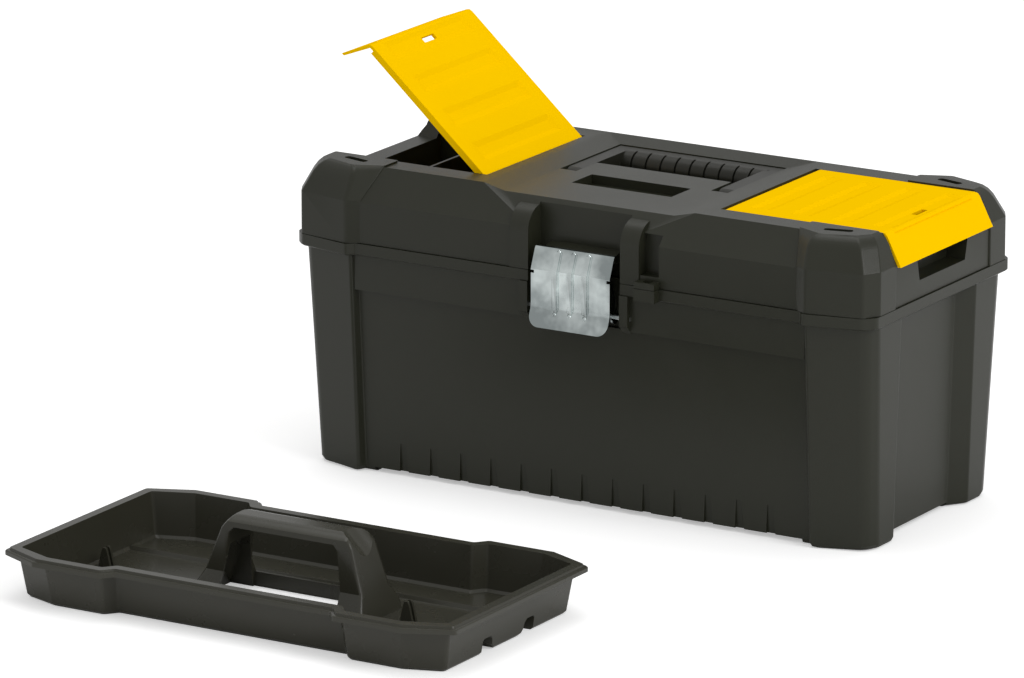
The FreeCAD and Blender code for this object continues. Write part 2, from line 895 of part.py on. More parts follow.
def latch_front_line():
    """Front of the latch plate from the tip of its lip to its rolled top edge."""
    face = -latch_face_y
    roll = latch_hook
    top_y = face + latch_lean
    return [
        (face - latch_lip_out, latch_lip_z),
        (face - latch_lip_out * 0.55, latch_lip_z + 5.5),
        (face - 0.6, latch_bend_z - 2),
        (face, latch_bend_z + 1),
        (face, latch_crease_z),
        (top_y - 0.6, latch_top_z - 1.6),
        (top_y + 0.4, latch_top_z - 0.4),
        (top_y + roll * 0.8, latch_top_z),
    ]


def latch_ribs():
    """Three ribs pressed into the plate, from the lip's bend to the top."""
    centre = -latch_face_y + latch_sheet * 0.6
    low = Vec(0, centre, latch_bend_z + 2)
    crease = Vec(0, centre, latch_crease_z)
    top = Vec(0, centre + latch_lean - 1, latch_top_z - 2.5)
    shapes = []
    for index in (-1, 0, 1):
        shift = Vec(index * latch_rib_pitch, 0, 0)
        for start, end in ((low, crease), (crease, top)):
            run = end - start
            shapes.append(Part.makeCylinder(latch_rib_r, run.Length, start + shift, run))
        for end in (low, crease, top):
            shapes.append(Part.makeSphere(latch_rib_r, end + shift))
        dimple = Part.makeSphere(latch_rib_r * 0.9, Vec(0, centre - 1.4, latch_bend_z - 3.6) + shift)
        shapes.append(dimple)
    return shapes


def latch_side(sign):
    """Side flange of the plate, with an ear round the pin."""
    inner = latch_half - latch_sheet
    back = -latch_pin_y
    face = -latch_face_y + 0.3
    outline = [
        (face, latch_bend_z),
        (back - 1, latch_pin_z - latch_ear),
        (back + latch_ear, latch_pin_z),
        (back - 1, latch_pin_z + latch_ear + 6),
        (face + 4.5, latch_crease_z - 3),
        (face, latch_crease_z - 3),
    ]
    plate = slab_x(outline, inner, latch_half)
    ear = rod(inner, back, latch_pin_z, latch_ear, Vec(1, 0, 0), latch_sheet)
    shape = plate.fuse(ear)
    return shape if sign > 0 else mirror_x(shape)


def latch_outline():
    """Front view of the plate: rounded lip corners and notches at the crease."""
    half = latch_half
    corners = [(-half, latch_lip_z, 7.0), (half, latch_lip_z, 7.0),
               (half, latch_top_z + 2, 1.5), (-half, latch_top_z + 2, 1.5)]
    wire = rounded_wire(corners, 0)
    face = Part.Face(wire)
    front = face.extrude(Vec(0, 0, 40))
    front.rotate(Vec(0, 0, 0), Vec(1, 0, 0), 90)
    front.translate(Vec(0, -latch_pin_y + 20, 0))
    notch = box(half - 2.2, half + 1, -latch_face_y - 5, -latch_face_y + 3,
                latch_crease_z - 2.6, latch_crease_z - 0.8)
    return front.cut(both_ends(notch))


def make_latch_plate():
    sheet = slab_x(sheet_strip(latch_front_line(), latch_sheet), -latch_half, latch_half)
    plate = fuse([sheet] + latch_ribs()).common(latch_outline())
    shape = plate.multiFuse([latch_side(-1), latch_side(1)])
    return shape.cut(latch_pin_line(latch_pin_r + pin_clearance))


# ---- tray ----

def tray_plan(z_share, inset=0.0):
    """Quarter outline of the tray; z_share is 0 at the floor and 1 at the rim."""
    shrink = tray_draft * (1 - z_share) + inset
    x = tray_half_length - shrink
    y = tray_half_depth - shrink
    waist = tray_half_depth - tray_waist - shrink
    turn = inset * 0.4 + tray_draft * (1 - z_share) * 0.4
    return all_round([
        (tray_waist_half + turn, waist, tray_radius),
        (tray_waist_half + tray_waist_ramp + turn, y, tray_radius),
        (x - tray_corner_x + turn, y, tray_radius * 1.6),
        (x, y - tray_corner_y + turn, tray_radius * 1.6),
    ])


def tray_arch():
    """Outer form of the carrying arch that rises from the tray's floor."""
    levels = (
        (0.0, tray_handle_foot, tray_grip_foot_half),
        (tray_height * 0.6, tray_handle_half + 12, tray_grip_half + 2.5),
        (tray_handle_top - 4, tray_handle_half + 5, tray_grip_half),
        (tray_handle_top, tray_handle_half, tray_grip_half - 3),
    )
    outlines = []
    for z, half_x, half_y in levels:
        corners = [(-half_x, -half_y, 3.0), (half_x, -half_y, 3.0),
                   (half_x, half_y, 3.0), (-half_x, half_y, 3.0)]
        outlines.append((corners, z))
    return sections(outlines)


def tray_tunnel():
    """The space under the grip, open to both sides and through the tray's floor."""
    inner_foot = tray_handle_half - 2
    inner_top = tray_handle_half - 7
    top = tray_handle_top - tray_shell
    reach = tray_grip_foot_half + 2
    across = slab_y([
        (-inner_foot, tray_floor + 2),
        (inner_foot, tray_floor + 2),
        (inner_top, top - 5),
        (inner_top - 4, top),
        (-inner_top + 4, top),
        (-inner_top, top - 5),
    ], -reach, reach)
    half = tray_grip_half - 1
    through = box(-inner_foot, inner_foot, -half, half, -1, tray_floor + 3)
    return across.fuse(through)


def tray_saddle():
    """Scoop in the right end of the arch."""
    axis_x = tray_handle_half + 8
    return rod(axis_x, 0, tray_handle_top + 4, 10.5, Vec(1, 0, -0.7), 40)


def tray_leg_hollows():
    """The arch is a shell: each leg is hollow from below."""
    levels = (
        (-1.0, tray_handle_half + 3, tray_handle_foot - tray_shell * 1.2,
         tray_grip_foot_half - tray_shell),
        (tray_handle_top - tray_shell * 2.4, tray_handle_half - 1, tray_handle_half + 1,
         tray_grip_half - tray_shell),
    )
    wires = []
    for z, near, far, half_y in levels:
        points = [Vec(near, -half_y, z), Vec(far, -half_y, z), Vec(far, half_y, z),
                  Vec(near, half_y, z)]
        wires.append(Part.makePolygon(points + points[:1]))
    return both_ends(Part.makeLoft(wires, True, True))


def make_tray():
    outer_inset = tray_lip
    walls = sections([
        (tray_plan(0, outer_inset + 1.6), 0),
        (tray_plan(0.05, outer_inset), tray_height * 0.06),
        (tray_plan(1, outer_inset), tray_height),
    ])
    lip = sections([
        (tray_plan(1), tray_height - tray_skirt),
        (tray_plan(1), tray_height - 1.0),
        (tray_plan(1, 1.0), tray_height),
    ])
    under_lip = sections([
        (tray_plan(1, 1.6), tray_height - tray_skirt - 1),
        (tray_plan(1, 1.6), tray_height - 1.8),
    ]).cut(sections([
        (tray_plan(1, outer_inset), tray_height - tray_skirt - 1),
        (tray_plan(1, outer_inset), tray_height - 1.8),
    ]))
    inside_inset = outer_inset + tray_wall
    hollow = sections([
        (tray_plan(0.08, inside_inset + 1.5), tray_floor),
        (tray_plan(0.14, inside_inset), tray_floor + 1.6),
        (tray_plan(1, inside_inset), tray_height + 1),
    ])
    body = fuse([walls, lip.cut(under_lip)]).cut(hollow)
    notch_half = tray_half_length
    notches = [rod(tray_half_length - 30, side * tray_notch_y / 2, 0, tray_notch_r, Vec(1, 0, 0), 40)
               for side in (-1, 1)]
    covers = [rod(tray_half_length - 30 - tray_wall, side * tray_notch_y / 2, 0,
                  tray_notch_r + tray_wall, Vec(1, 0, 0), 30) for side in (-1, 1)]
    covers = [cover.common(box(0, notch_half - outer_inset - 2, -60, 60, 0.5, 20))
              for cover in covers]
    ribs = []
    rib_x = tray_handle_foot + 6
    for index in range(tray_rib_count):
        y = (index - (tray_rib_count - 1) / 2) * 26
        rib = box(-rib_x - 50, -rib_x, y - 1.2, y + 1.2, tray_floor - 0.5,
                  tray_floor + tray_rib_height)
        ribs.append(rib)
    arch = tray_arch().cut(tray_saddle())
    solid = fuse([body, arch] + covers + ribs)
    tray = solid.cut([tray_tunnel()] + tray_leg_hollows() + notches)
    tray.translate(Vec(tray_x, tray_y, 0))
    return tray


def export(name, shape):
    solids = shape.Solids
    if len(solids) != 1 or not shape.isValid():
        print("look at", name, "solids", len(solids), "valid", shape.isValid())
    solids[0].exportStep("parts/" + name + ".step")
    print(name, round(solids[0].Volume), "mm3")


os.makedirs("parts", exist_ok=True)
right_lid = make_organiser_lid(0)
left_lid = mirror_x(make_organiser_lid(organiser_open_angle))
export("base_shell", make_base_shell())
export("lid_shell", make_lid_shell())
export("left_organiser_lid", left_lid)
export("right_organiser_lid", right_lid)
export("carrying_handle", make_handle())
export("latch_plate", make_latch_plate())
export("latch_pin", latch_pin_line(latch_pin_r))
export("left_hinge_rod", hinge_rod(-1))
export("right_hinge_rod", hinge_rod(1))
export("tray", make_tray())
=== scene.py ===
# %% [markdown]
# # A moulded toolbox with a lift-out tray
#
# The real box is a handful of injection mouldings: a base, a lid, two yellow organiser lids, a
# carrying handle and a tray, with a pressed steel latch on a pin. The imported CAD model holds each
# of them at its real size and says how it moves. The lid, the yellow lids, the handle and the tray
# are modelled again here, closer to what comes out of a mould, while the base and the latch plate
# start from their CAD shapes. Each new piece then stands in for its CAD node.

# %% Load the frame
import bmesh
import bpy
import math
from mathutils import Matrix, Vector


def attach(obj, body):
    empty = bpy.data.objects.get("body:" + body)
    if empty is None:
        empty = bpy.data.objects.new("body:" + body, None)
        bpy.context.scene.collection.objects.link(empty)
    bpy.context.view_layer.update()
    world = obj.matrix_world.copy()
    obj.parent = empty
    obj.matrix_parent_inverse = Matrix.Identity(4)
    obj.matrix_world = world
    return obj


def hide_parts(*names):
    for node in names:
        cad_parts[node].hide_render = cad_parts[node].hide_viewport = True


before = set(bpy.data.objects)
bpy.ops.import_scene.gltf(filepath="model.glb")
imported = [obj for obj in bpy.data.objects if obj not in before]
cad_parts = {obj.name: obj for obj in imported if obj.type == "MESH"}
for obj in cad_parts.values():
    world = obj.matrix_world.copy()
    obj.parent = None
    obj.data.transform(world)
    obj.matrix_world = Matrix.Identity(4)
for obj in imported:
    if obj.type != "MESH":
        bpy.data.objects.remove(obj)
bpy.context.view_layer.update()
MM = 0.001
scene = bpy.context.scene

# %% [markdown]
# ## Helpers for node trees
#
# A material is a graph of nodes. It could be drawn by hand in the editor, but a few small
# functions keep it readable as text: they add a node with its values, build a group with named
# sockets, place that group, and do a sum.

# %% Node helpers


def set_inputs(node, values):
    """Gives a node's sockets their values; an underscore stands for a space in a name."""
    for name, value in values.items():
        node.inputs[name.replace("_", " ")].default_value = value
    return node


def add_node(tree, kind, **values):
    """A node of a kind, with values for its sockets."""
    return set_inputs(tree.nodes.new(kind), values)


def new_group(name, inputs, outputs):
    """A shader group with float inputs {name: value} and outputs {name: socket type}."""
    group = bpy.data.node_groups.new(name, "ShaderNodeTree")
    for label, value in inputs.items():
        socket = group.interface.new_socket(label, in_out="INPUT", socket_type="NodeSocketFloat")
        socket.default_value = value
    for label, kind in outputs.items():
        group.interface.new_socket(label, in_out="OUTPUT", socket_type=kind)
    return group, group.nodes.new("NodeGroupInput"), group.nodes.new("NodeGroupOutput")


def use_group(tree, group, **values):
    """A group placed in a material, with that material's own values."""
    node = tree.nodes.new("ShaderNodeGroup")
    node.node_tree = group
    return set_inputs(node, values)


# %% Sums between sockets


def calculate(tree, operation, first, second, clamp=False):
    """A Math node; each side is a socket or a number."""
    node = tree.nodes.new("ShaderNodeMath")
    node.operation = operation
    node.use_clamp = clamp
    for index, side in enumerate((first, second)):
        if isinstance(side, (int, float)):
            node.inputs[index].default_value = side
        else:
            tree.links.new(side, node.inputs[index])
    return node.outputs[0]


# %% [markdown]
# ## Moulded grain
#
# A mould for a box like this is etched or spark-eroded, which leaves an even grain of bumps, half a
# millimetre to one millimetre apart. Real displacement would take millions of faces, so the grain
# is a height that a Bump node turns into normals. A second, much larger noise changes the gloss a
# little, as plastic that cooled unevenly does. Every finish of the box uses both, so they are one
# group.

# %% Grain group
MM_PER_METRE = 1000.0
BUMP_HEIGHT = 0.0002
grain, grain_in, grain_out = new_group(
    "moulded_grain",
    {"Size mm": 0.35, "Depth": 0.3, "Gloss": 0.5, "Gloss Change": 0.05},
    {"Normal": "NodeSocketVector", "Roughness": "NodeSocketFloat", "Shade": "NodeSocketFloat"},
)
place = grain.nodes.new("ShaderNodeTexCoord")
per_metre = calculate(grain, "DIVIDE", MM_PER_METRE, grain_in.outputs["Size mm"])
fine = add_node(grain, "ShaderNodeTexNoise", Detail=2.0, Roughness=0.55)
grain.links.new(place.outputs["Object"], fine.inputs["Vector"])
grain.links.new(per_metre, fine.inputs["Scale"])
bump = add_node(grain, "ShaderNodeBump", Distance=BUMP_HEIGHT)
grain.links.new(fine.outputs["Fac"], bump.inputs["Height"])
grain.links.new(grain_in.outputs["Depth"], bump.inputs["Strength"])
grain.links.new(bump.outputs["Normal"], grain_out.inputs["Normal"])
print("bumps up to", BUMP_HEIGHT / MM, "mm high")

# %% Gloss in the grain group
NOISE_MIDDLE = 0.5
broad = add_node(grain, "ShaderNodeTexNoise", Scale=22.0, Detail=4.0, Roughness=0.6)
grain.links.new(place.outputs["Object"], broad.inputs["Vector"])
swing = calculate(grain, "SUBTRACT", broad.outputs["Fac"], NOISE_MIDDLE)
change = calculate(grain, "MULTIPLY", swing, grain_in.outputs["Gloss Change"])
gloss = calculate(grain, "ADD", grain_in.outputs["Gloss"], change, clamp=True)
grain.links.new(gloss, grain_out.inputs["Roughness"])
grain.links.new(broad.outputs["Fac"], grain_out.inputs["Shade"])
print("grain group:", len(grain.nodes), "nodes")

# %% [markdown]
# ## Plastics
#
# Polypropylene is a dull waxy plastic: a dielectric with a broad highlight. It could be one flat
# colour, but a real moulding is never quite even. So each plastic mixes two close shades by the
# broad noise, on one Principled shader with the grain group at its own size and gloss.

# %% Colour and surface helpers


def two_shades(tree, dark, light, share):
    """A colour between two shades, by a share that changes over the surface."""
    mix = tree.nodes.new("ShaderNodeMix")
    mix.data_type = "RGBA"
    mix.inputs["A"].default_value = (*dark, 1)
    mix.inputs["B"].default_value = (*light, 1)
    tree.links.new(share, mix.inputs["Factor"])
    return mix.outputs["Result"]


def link_surface(tree, shader, colour, surface):
    """Links a colour, and the gloss and normals of the grain group, to a shader."""
    tree.links.new(colour, shader.inputs["Base Color"])
    tree.links.new(surface.outputs["Roughness"], shader.inputs["Roughness"])
    tree.links.new(surface.outputs["Normal"], shader.inputs["Normal"])


# %% Plastic materials
PLASTIC_GLOSS_CHANGE = 0.08


def plastic(name, dark, light, size, depth, rough, gleam):
    """A moulded plastic whose colour drifts a little between two shades."""
    material = bpy.data.materials.new(name)
    material.use_nodes = True
    tree = material.node_tree
    shader = tree.nodes["Principled BSDF"]
    shader.inputs["Specular IOR Level"].default_value = gleam
    surface = use_group(tree, grain, Size_mm=size, Depth=depth, Gloss=rough,
                        Gloss_Change=PLASTIC_GLOSS_CHANGE)
    colour = two_shades(tree, dark, light, surface.outputs["Shade"])
    link_surface(tree, shader, colour, surface)
    print("plastic:", material.name)
    return material


charcoal = plastic("charcoal_plastic", (0.018, 0.019, 0.011), (0.022, 0.023, 0.014),
                   size=0.5, depth=0.35, rough=0.34, gleam=0.36)
tray_charcoal = plastic("tray_plastic", (0.034, 0.033, 0.023), (0.039, 0.038, 0.027),
                        size=0.6, depth=0.07, rough=0.27, gleam=0.42)
handle_charcoal = plastic("handle_plastic", (0.015, 0.015, 0.010), (0.018, 0.018, 0.013),
                          size=0.5, depth=0.3, rough=0.36, gleam=0.3)
yellow = plastic("yellow_plastic", (0.97, 0.57, 0.0), (1.0, 0.60, 0.0),
                 size=0.6, depth=0.15, rough=0.42, gleam=0.0)

# %% [markdown]
# ## Steel
#
# The latch plate is zinc-plated sheet and the pins are drawn rod. Their colour changes in soft
# clouds, lighter and darker. Part of this is the spangle that plating grows, and part is painted
# reflection: light and dark patches that stand in for what a room would mirror in the metal. An
# image could hold them, but the grain group's broad noise already has such clouds, and raising its
# contrast is enough. Metallic is 1, so the colour tints what the metal reflects.

# %% Steel materials
SPANGLE_AND_REFLECTION_LOW = 0.4
SPANGLE_AND_REFLECTION_CONTRAST = 5.0


def steel(name, dark, light, rough):
    """A steel whose colour changes in clouds, partly plating spangle and partly painted reflection.
    """
    material = bpy.data.materials.new(name)
    material.use_nodes = True
    tree = material.node_tree
    shader = tree.nodes["Principled BSDF"]
    shader.inputs["Metallic"].default_value = 1.0
    surface = use_group(tree, grain, Size_mm=0.8, Depth=0.1, Gloss=rough, Gloss_Change=0.12)
    # The clouds are partly plating spangle and partly painted reflection, light and dark patches
    # that stand in for what the metal would mirror.
    spangle_and_reflection = calculate(tree, "SUBTRACT", surface.outputs["Shade"], SPANGLE_AND_REFLECTION_LOW)
    spangle_and_reflection = calculate(tree, "MULTIPLY", spangle_and_reflection, SPANGLE_AND_REFLECTION_CONTRAST, clamp=True)
    link_surface(tree, shader, two_shades(tree, dark, light, spangle_and_reflection), surface)
    print("steel:", material.name)
    return material


# The wide gap between the dark and the light grey is mostly painted reflection, with some plating
# spangle.
zinc = steel("zinc_steel", (0.34, 0.38, 0.38), (0.78, 0.85, 0.84), rough=0.12)
pin_steel = steel("pin_steel", (0.65, 0.67, 0.67), (0.75, 0.77, 0.77), rough=0.3)

# %% [markdown]
# ## Mouldings with rounded edges
#
# No moulded edge is sharp. Rounding could be drawn into every outline, but a Bevel modifier gives
# it to all edges of a mesh at once, and those narrow bands are what catch the light. Weighted
# normals then keep the broad faces flat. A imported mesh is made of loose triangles, so a copy of it
# is merged back into a solid and its flat facets are joined.

# %% Mending helpers
MERGE = 0.004 * MM
SLIVER = 0.01 * MM
FLAT_ANGLE = 0.6


def merged(mesh):
    """The mesh with its doubles merged and its flat facets joined."""
    form = bmesh.new()
    form.from_mesh(mesh)
    bmesh.ops.remove_doubles(form, verts=form.verts, dist=MERGE)
    bmesh.ops.dissolve_limit(form, angle_limit=math.radians(FLAT_ANGLE), verts=form.verts,
                             edges=form.edges, delimit=set())
    form.to_mesh(mesh)
    form.free()
    return mesh


def packed(node):
    """A merged copy of a CAD node's mesh."""
    return merged(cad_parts[node].data.copy())


def without_slivers(mesh):
    """Takes edges of no length and faces of no area out of a mesh."""
    form = bmesh.new()
    form.from_mesh(mesh)
    bmesh.ops.dissolve_degenerate(form, edges=form.edges, dist=SLIVER)
    form.to_mesh(mesh)
    form.free()
    mesh.validate()


# %% Moulding helpers
MOULD_ANGLE = 28


def round_edges(piece, edge_mm, angle):
    """Rounds the edges that turn by more than an angle, and evens the shading."""
    bevel = piece.modifiers.new("rounded_edges", "BEVEL")
    bevel.limit_method = "ANGLE"
    bevel.angle_limit = math.radians(angle)
    bevel.width = edge_mm * MM
    bevel.segments = 2
    bevel.harden_normals = True
    bevel.use_clamp_overlap = True
    even = piece.modifiers.new("even_faces", "WEIGHTED_NORMAL")
    even.mode = "FACE_AREA"
    even.weight = 50
    even.keep_sharp = True


def moulding(name, mesh, node, body, material, edge_mm, angle=MOULD_ANGLE):
    """Adds a piece with rounded edges, which stands for a CAD node."""
    mesh.materials.clear()
    mesh.materials.append(material)
    without_slivers(mesh)
    piece = bpy.data.objects.new(name, mesh)
    scene.collection.objects.link(piece)
    mesh.shade_smooth()
    mesh.set_sharp_from_angle(angle=math.radians(angle))
    round_edges(piece, edge_mm, angle)
    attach(piece, body)
    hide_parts(node)
    print(name, len(mesh.polygons), "faces before its bevel")


# %% [markdown]
# ## Solids that are joined and cut
#
# A moulding is easiest to think of as a few plain solids that are joined, and others that are cut
# out of them. Each solid starts as one flat outline that is extruded from level to level, so a
# tapered wall is two outlines of different size. Boolean modifiers join and cut them, which
# spares us from working out by hand where the faces meet.

# %% Outline helpers
ROUND_STEPS = 4


def all_round(quarter):
    """A whole outline from its front right quarter."""
    right = [(x, -y, r) for x, y, r in quarter] + [(x, y, r) for x, y, r in reversed(quarter)]
    return right + [(-x, y, r) for x, y, r in reversed(right)]


def rounded(outline, z):
    """Points of an outline whose corners (x, y, radius) are rounded, at a height."""
    points = []
    for index, (x, y, radius) in enumerate(outline):
        corner = Vector((x, y, z))
        before = Vector((*outline[index - 1][:2], z)) - corner
        after = Vector((*outline[(index + 1) % len(outline)][:2], z)) - corner
        reach = radius / math.tan(before.angle(after) / 2)
        start = corner + before.normalized() * reach
        end = corner + after.normalized() * reach
        for step in range(ROUND_STEPS + 1):
            share = step / ROUND_STEPS
            points.append(start.lerp(corner, share).lerp(corner.lerp(end, share), share))
    return points


# %% Loft helper


def loft(rings):
    """A closed mesh from one flat outline that is extruded through the next ones, in mm."""
    form = bmesh.new()
    face = form.faces.new([form.verts.new(Vector(point) * MM) for point in rings[0]])
    for ring in rings[1:]:
        face = bmesh.ops.extrude_discrete_faces(form, faces=[face])["faces"][0]
        for vert, point in zip(face.verts, ring):
            vert.co = Vector(point) * MM
    bmesh.ops.holes_fill(form, edges=form.edges, sides=0)
    bmesh.ops.recalc_face_normals(form, faces=form.faces)
    mesh = bpy.data.meshes.new("solid")
    form.to_mesh(mesh)
    form.free()
    return mesh


# %% Prisms, blocks and bars


def prism_x(outline, low, high):
    """An outline (y, z) along X."""
    return loft([[(x, y, z) for y, z in outline] for x in (low, high)])


def prism_y(outline, low, high):
    """An outline (x, z) along Y."""
    return loft([[(x, y, z) for x, z in outline] for y in (low, high)])


def block(x_low, x_high, y_low, y_high, z_low, z_high):
    """A plain block between six planes."""
    return prism_x([(y_low, z_low), (y_high, z_low), (y_high, z_high), (y_low, z_high)],
                   x_low, x_high)


def bar(start, end, radius, sides=48):
    """A round bar between two points, in mm."""
    run = Vector(end) - Vector(start)
    turn = run.to_track_quat("Z", "Y").to_matrix().to_4x4()
    form = bmesh.new()
    bmesh.ops.create_cone(form, cap_ends=True, segments=sides, radius1=radius * MM,
                          radius2=radius * MM, depth=run.length * MM)
    middle = Matrix.Translation((Vector(start) + Vector(end)) * 0.5 * MM)
    bmesh.ops.transform(form, matrix=middle @ turn, verts=form.verts)
    mesh = bpy.data.meshes.new("bar")
    form.to_mesh(mesh)
    form.free()
    return mesh


# %% Placing helpers
MIRROR_X = Matrix.Scale(-1, 4, (1, 0, 0))
MIRROR_Y = Matrix.Scale(-1, 4, (0, 1, 0))


def moved(mesh, matrix):
    """The mesh turned, shifted or mirrored; a mirrored one has its faces turned back out."""
    mesh.transform(matrix)
    if matrix.determinant() < 0:
        mesh.flip_normals()
    return mesh


def shift(x, y, z):
    """A move by some millimetres."""
    return Matrix.Translation(Vector((x, y, z)) * MM)


def both(mesh, mirror):
    """A shape and its mirror image."""
    return [mesh, moved(mesh.copy(), mirror)]


def at_corners(mesh):
    """A shape at the front right corner, and at the other three."""
    return [one for side in both(mesh, MIRROR_X) for one in both(side, MIRROR_Y)]


# %% Joining and cutting


def shaped(start, joined=(), common=(), cut=()):
    """A mesh with others joined to it, kept in common with it or cut out of it."""
    holder = bpy.data.objects.new("shaping", start)
    scene.collection.objects.link(holder)
    tools = []
    for operation, meshes in (("UNION", joined), ("INTERSECT", common), ("DIFFERENCE", cut)):
        for mesh in meshes:
            tool = bpy.data.objects.new("tool", mesh)
            scene.collection.objects.link(tool)
            step = holder.modifiers.new("step", "BOOLEAN")
            step.operation = operation
            step.object = tool
            step.solver = "EXACT"
            tools.append(tool)
    bpy.context.view_layer.update()
    graph = bpy.context.evaluated_depsgraph_get()
    done = bpy.data.meshes.new_from_object(holder.evaluated_get(graph))
    for item in (holder, *tools):
        bpy.data.objects.remove(item)
    return merged(done)


# %% [markdown]
# ## The lid's skin
#
# The lid is the richest moulding. Its outline has cut corners and leans in above a crease, and each
# corner carries a raised post whose faces lean three ways. Sculpting it face by face would make
# every change hard, so the skin is one loft with four posts joined to it. A cut goes a little past
# the surface that it opens, because two faces in one plane confuse a Boolean.

# %% Lid outline
LID_X = 201.8
LID_Y = 91.5
LID_LOW = 148.3
CREASE = 174.0
LID_TOP = 193.5
CHAMFER_X = 8.8
CHAMFER_Y = 16.5
CUT_X = 34
CUT_Y = 15
CUT_ROUND = 4
CLEAR = 1
OUTSIDE_X = LID_X + CLEAR
OUTSIDE_Y = LID_Y + 10


def lid_ring(z, x, y):
    """The lid's outline with cut corners, at a height."""
    return rounded(all_round([(x - CUT_X, y, CUT_ROUND), (x, y - CUT_Y, CUT_ROUND)]), z)


core = loft([lid_ring(LID_LOW, LID_X, LID_Y), lid_ring(CREASE, LID_X, LID_Y),
             lid_ring(LID_TOP, LID_X - CHAMFER_X, LID_Y - CHAMFER_Y)])
print("lid core", 2 * LID_X, "x", 2 * LID_Y, "mm")

# %% Corner post outline
POST_TOP = LID_TOP + 1.0
POST_SHOULDER = 4.5
POST_PROUD_X = 1.0
POST_PROUD_Y = 4.5
POST_LEAN_X = 7.8
POST_LEAN_Y = 9
POST_INNER = 152.2
POST_INNER_LEAN = 7
POST_EDGE = 160.7
POST_EDGE_LEAN = 1.5
POST_BACK = 59
POST_SUNK = 0.2
POST_SPREAD = 0.3


def post_ring(z, lean, inset=0.0, shoulder=0.0):
    """Outline of the front right corner post; lean goes from 0 to 1 at its top."""
    front = LID_Y + POST_PROUD_Y - POST_LEAN_Y * lean - inset - shoulder
    skin = LID_Y - POST_SUNK - CHAMFER_Y * lean - inset
    end = LID_X + POST_PROUD_X - POST_LEAN_X * lean - inset - shoulder
    inner = POST_INNER - POST_INNER_LEAN * lean + inset * POST_SPREAD
    edge = POST_EDGE - POST_EDGE_LEAN * lean + inset * POST_SPREAD + shoulder
    back = POST_BACK + inset
    return rounded([
        (inner, -back, 1),
        (inner, -min(skin, front - 1), 2),
        (edge, -front, 5),
        (end - 6, 7 - front, 3),
        (end, 17.5 - front - shoulder * 0.7, 3),
        (end, -back, 1),
    ], z)


# %% Corner posts
# The shoulder is rounded in four levels: how far down each is, and how far it has come in, both as
# shares of its size.
SHOULDER_LEVELS = ((1.6, 0.0), (0.8, 0.2), (0.3, 0.55), (0.0, 1.0))
post_rings = [post_ring(LID_LOW, 0), post_ring(CREASE + 1, 0)]
for drop, share in SHOULDER_LEVELS:
    down = drop * POST_SHOULDER
    lean = 1 - down / (POST_TOP - CREASE)
    post_rings.append(post_ring(POST_TOP - down, lean, shoulder=POST_SHOULDER * share))
posts = at_corners(loft(post_rings))
print("posts", len(posts), "with", len(posts[0].polygons), "faces each")

# %% [markdown]
# ## The lid's plate and latch recess
#
# The middle of the lid is a lower plate with sloped sides, whose front folds down to the latch. The
# latch sits in a recess between two round cheeks, beside a channel for a padlock. All of these are
# cuts in the skin, apart from the cheeks: they are joined to it before the recess is cut between
# them. A bevelled block would do for a cheek, but its profile is an arc of known radius.

# %% Plate
PLATE = 190.0
PLATE_RISE = 7
PLATE_HALF = 59.5
PLATE_SLOPE = 29
PLATE_FRONT = -76
PLATE_BACK = 63.8
SLOPE_BACK = 85.6
FOLD_NARROWS = 28.5
# The fold starts a little before the plate's front edge and ends past the crease.
FOLD_LEVELS = (-0.03, 1.1)
FRONT_EDGE = LID_Y - CHAMFER_Y
slope_half = PLATE_HALF + PLATE_SLOPE
slope_top = PLATE + PLATE_RISE
plate_cut = loft([
    [(-PLATE_HALF, PLATE_FRONT, PLATE), (PLATE_HALF, PLATE_FRONT, PLATE),
     (PLATE_HALF, PLATE_BACK, PLATE), (-PLATE_HALF, PLATE_BACK, PLATE)],
    [(-slope_half, PLATE_FRONT, slope_top), (slope_half, PLATE_FRONT, slope_top),
     (slope_half, SLOPE_BACK, slope_top), (-slope_half, SLOPE_BACK, slope_top)],
])
fold_rings = []
for along in FOLD_LEVELS:
    y = -FRONT_EDGE - CHAMFER_Y * along
    z = PLATE - (PLATE - CREASE) * along
    half = PLATE_HALF - FOLD_NARROWS * along
    fold_rings.append([(-half - PLATE_SLOPE, y, z + PLATE_RISE), (-half, y, z), (half, y, z),
                       (half + PLATE_SLOPE, y, z + PLATE_RISE)])
skin = shaped(core, joined=posts, cut=[plate_cut, loft(fold_rings)])
print("lid skin", len(skin.polygons), "faces")

# %% Latch recess and padlock channel
RECESS_HALF = 32.2
RECESS_Y = 77.7
CHEEK_Y = -77.5
CHEEK_Z = 171
CHEEK_RADIUS = 15
CHEEK_STEPS = 10
CHEEK_BACK = -69.7
CHEEK_OUTER = 45.2
CHANNEL_LOW_X = 45.4
CHANNEL_HIGH_X = 58.6
CHANNEL_BACK = 83.5
CHANNEL_LOW = 155.0
CHANNEL_TOP = 180
turns = [math.radians(180 - 90 * step / CHEEK_STEPS) for step in range(CHEEK_STEPS + 1)]
cheek = prism_x([(CHEEK_RADIUS * math.cos(turn) + CHEEK_Y, CHEEK_RADIUS * math.sin(turn) + CHEEK_Z)
                 for turn in turns]
                + [(CHEEK_BACK, CHEEK_Z + CHEEK_RADIUS), (CHEEK_BACK, LID_LOW),
                   (CHEEK_Y - CHEEK_RADIUS, LID_LOW)], RECESS_HALF, CHEEK_OUTER)
recess = block(-RECESS_HALF, RECESS_HALF, -OUTSIDE_Y, -RECESS_Y, LID_LOW - CLEAR, LID_TOP + CLEAR)
channel = block(CHANNEL_LOW_X, CHANNEL_HIGH_X, -OUTSIDE_Y, -CHANNEL_BACK, CHANNEL_LOW, CHANNEL_TOP)
skin = shaped(skin, joined=both(cheek, MIRROR_X))
skin = shaped(skin, cut=[recess, channel])
print("lid skin with its recess", len(skin.polygons), "faces")

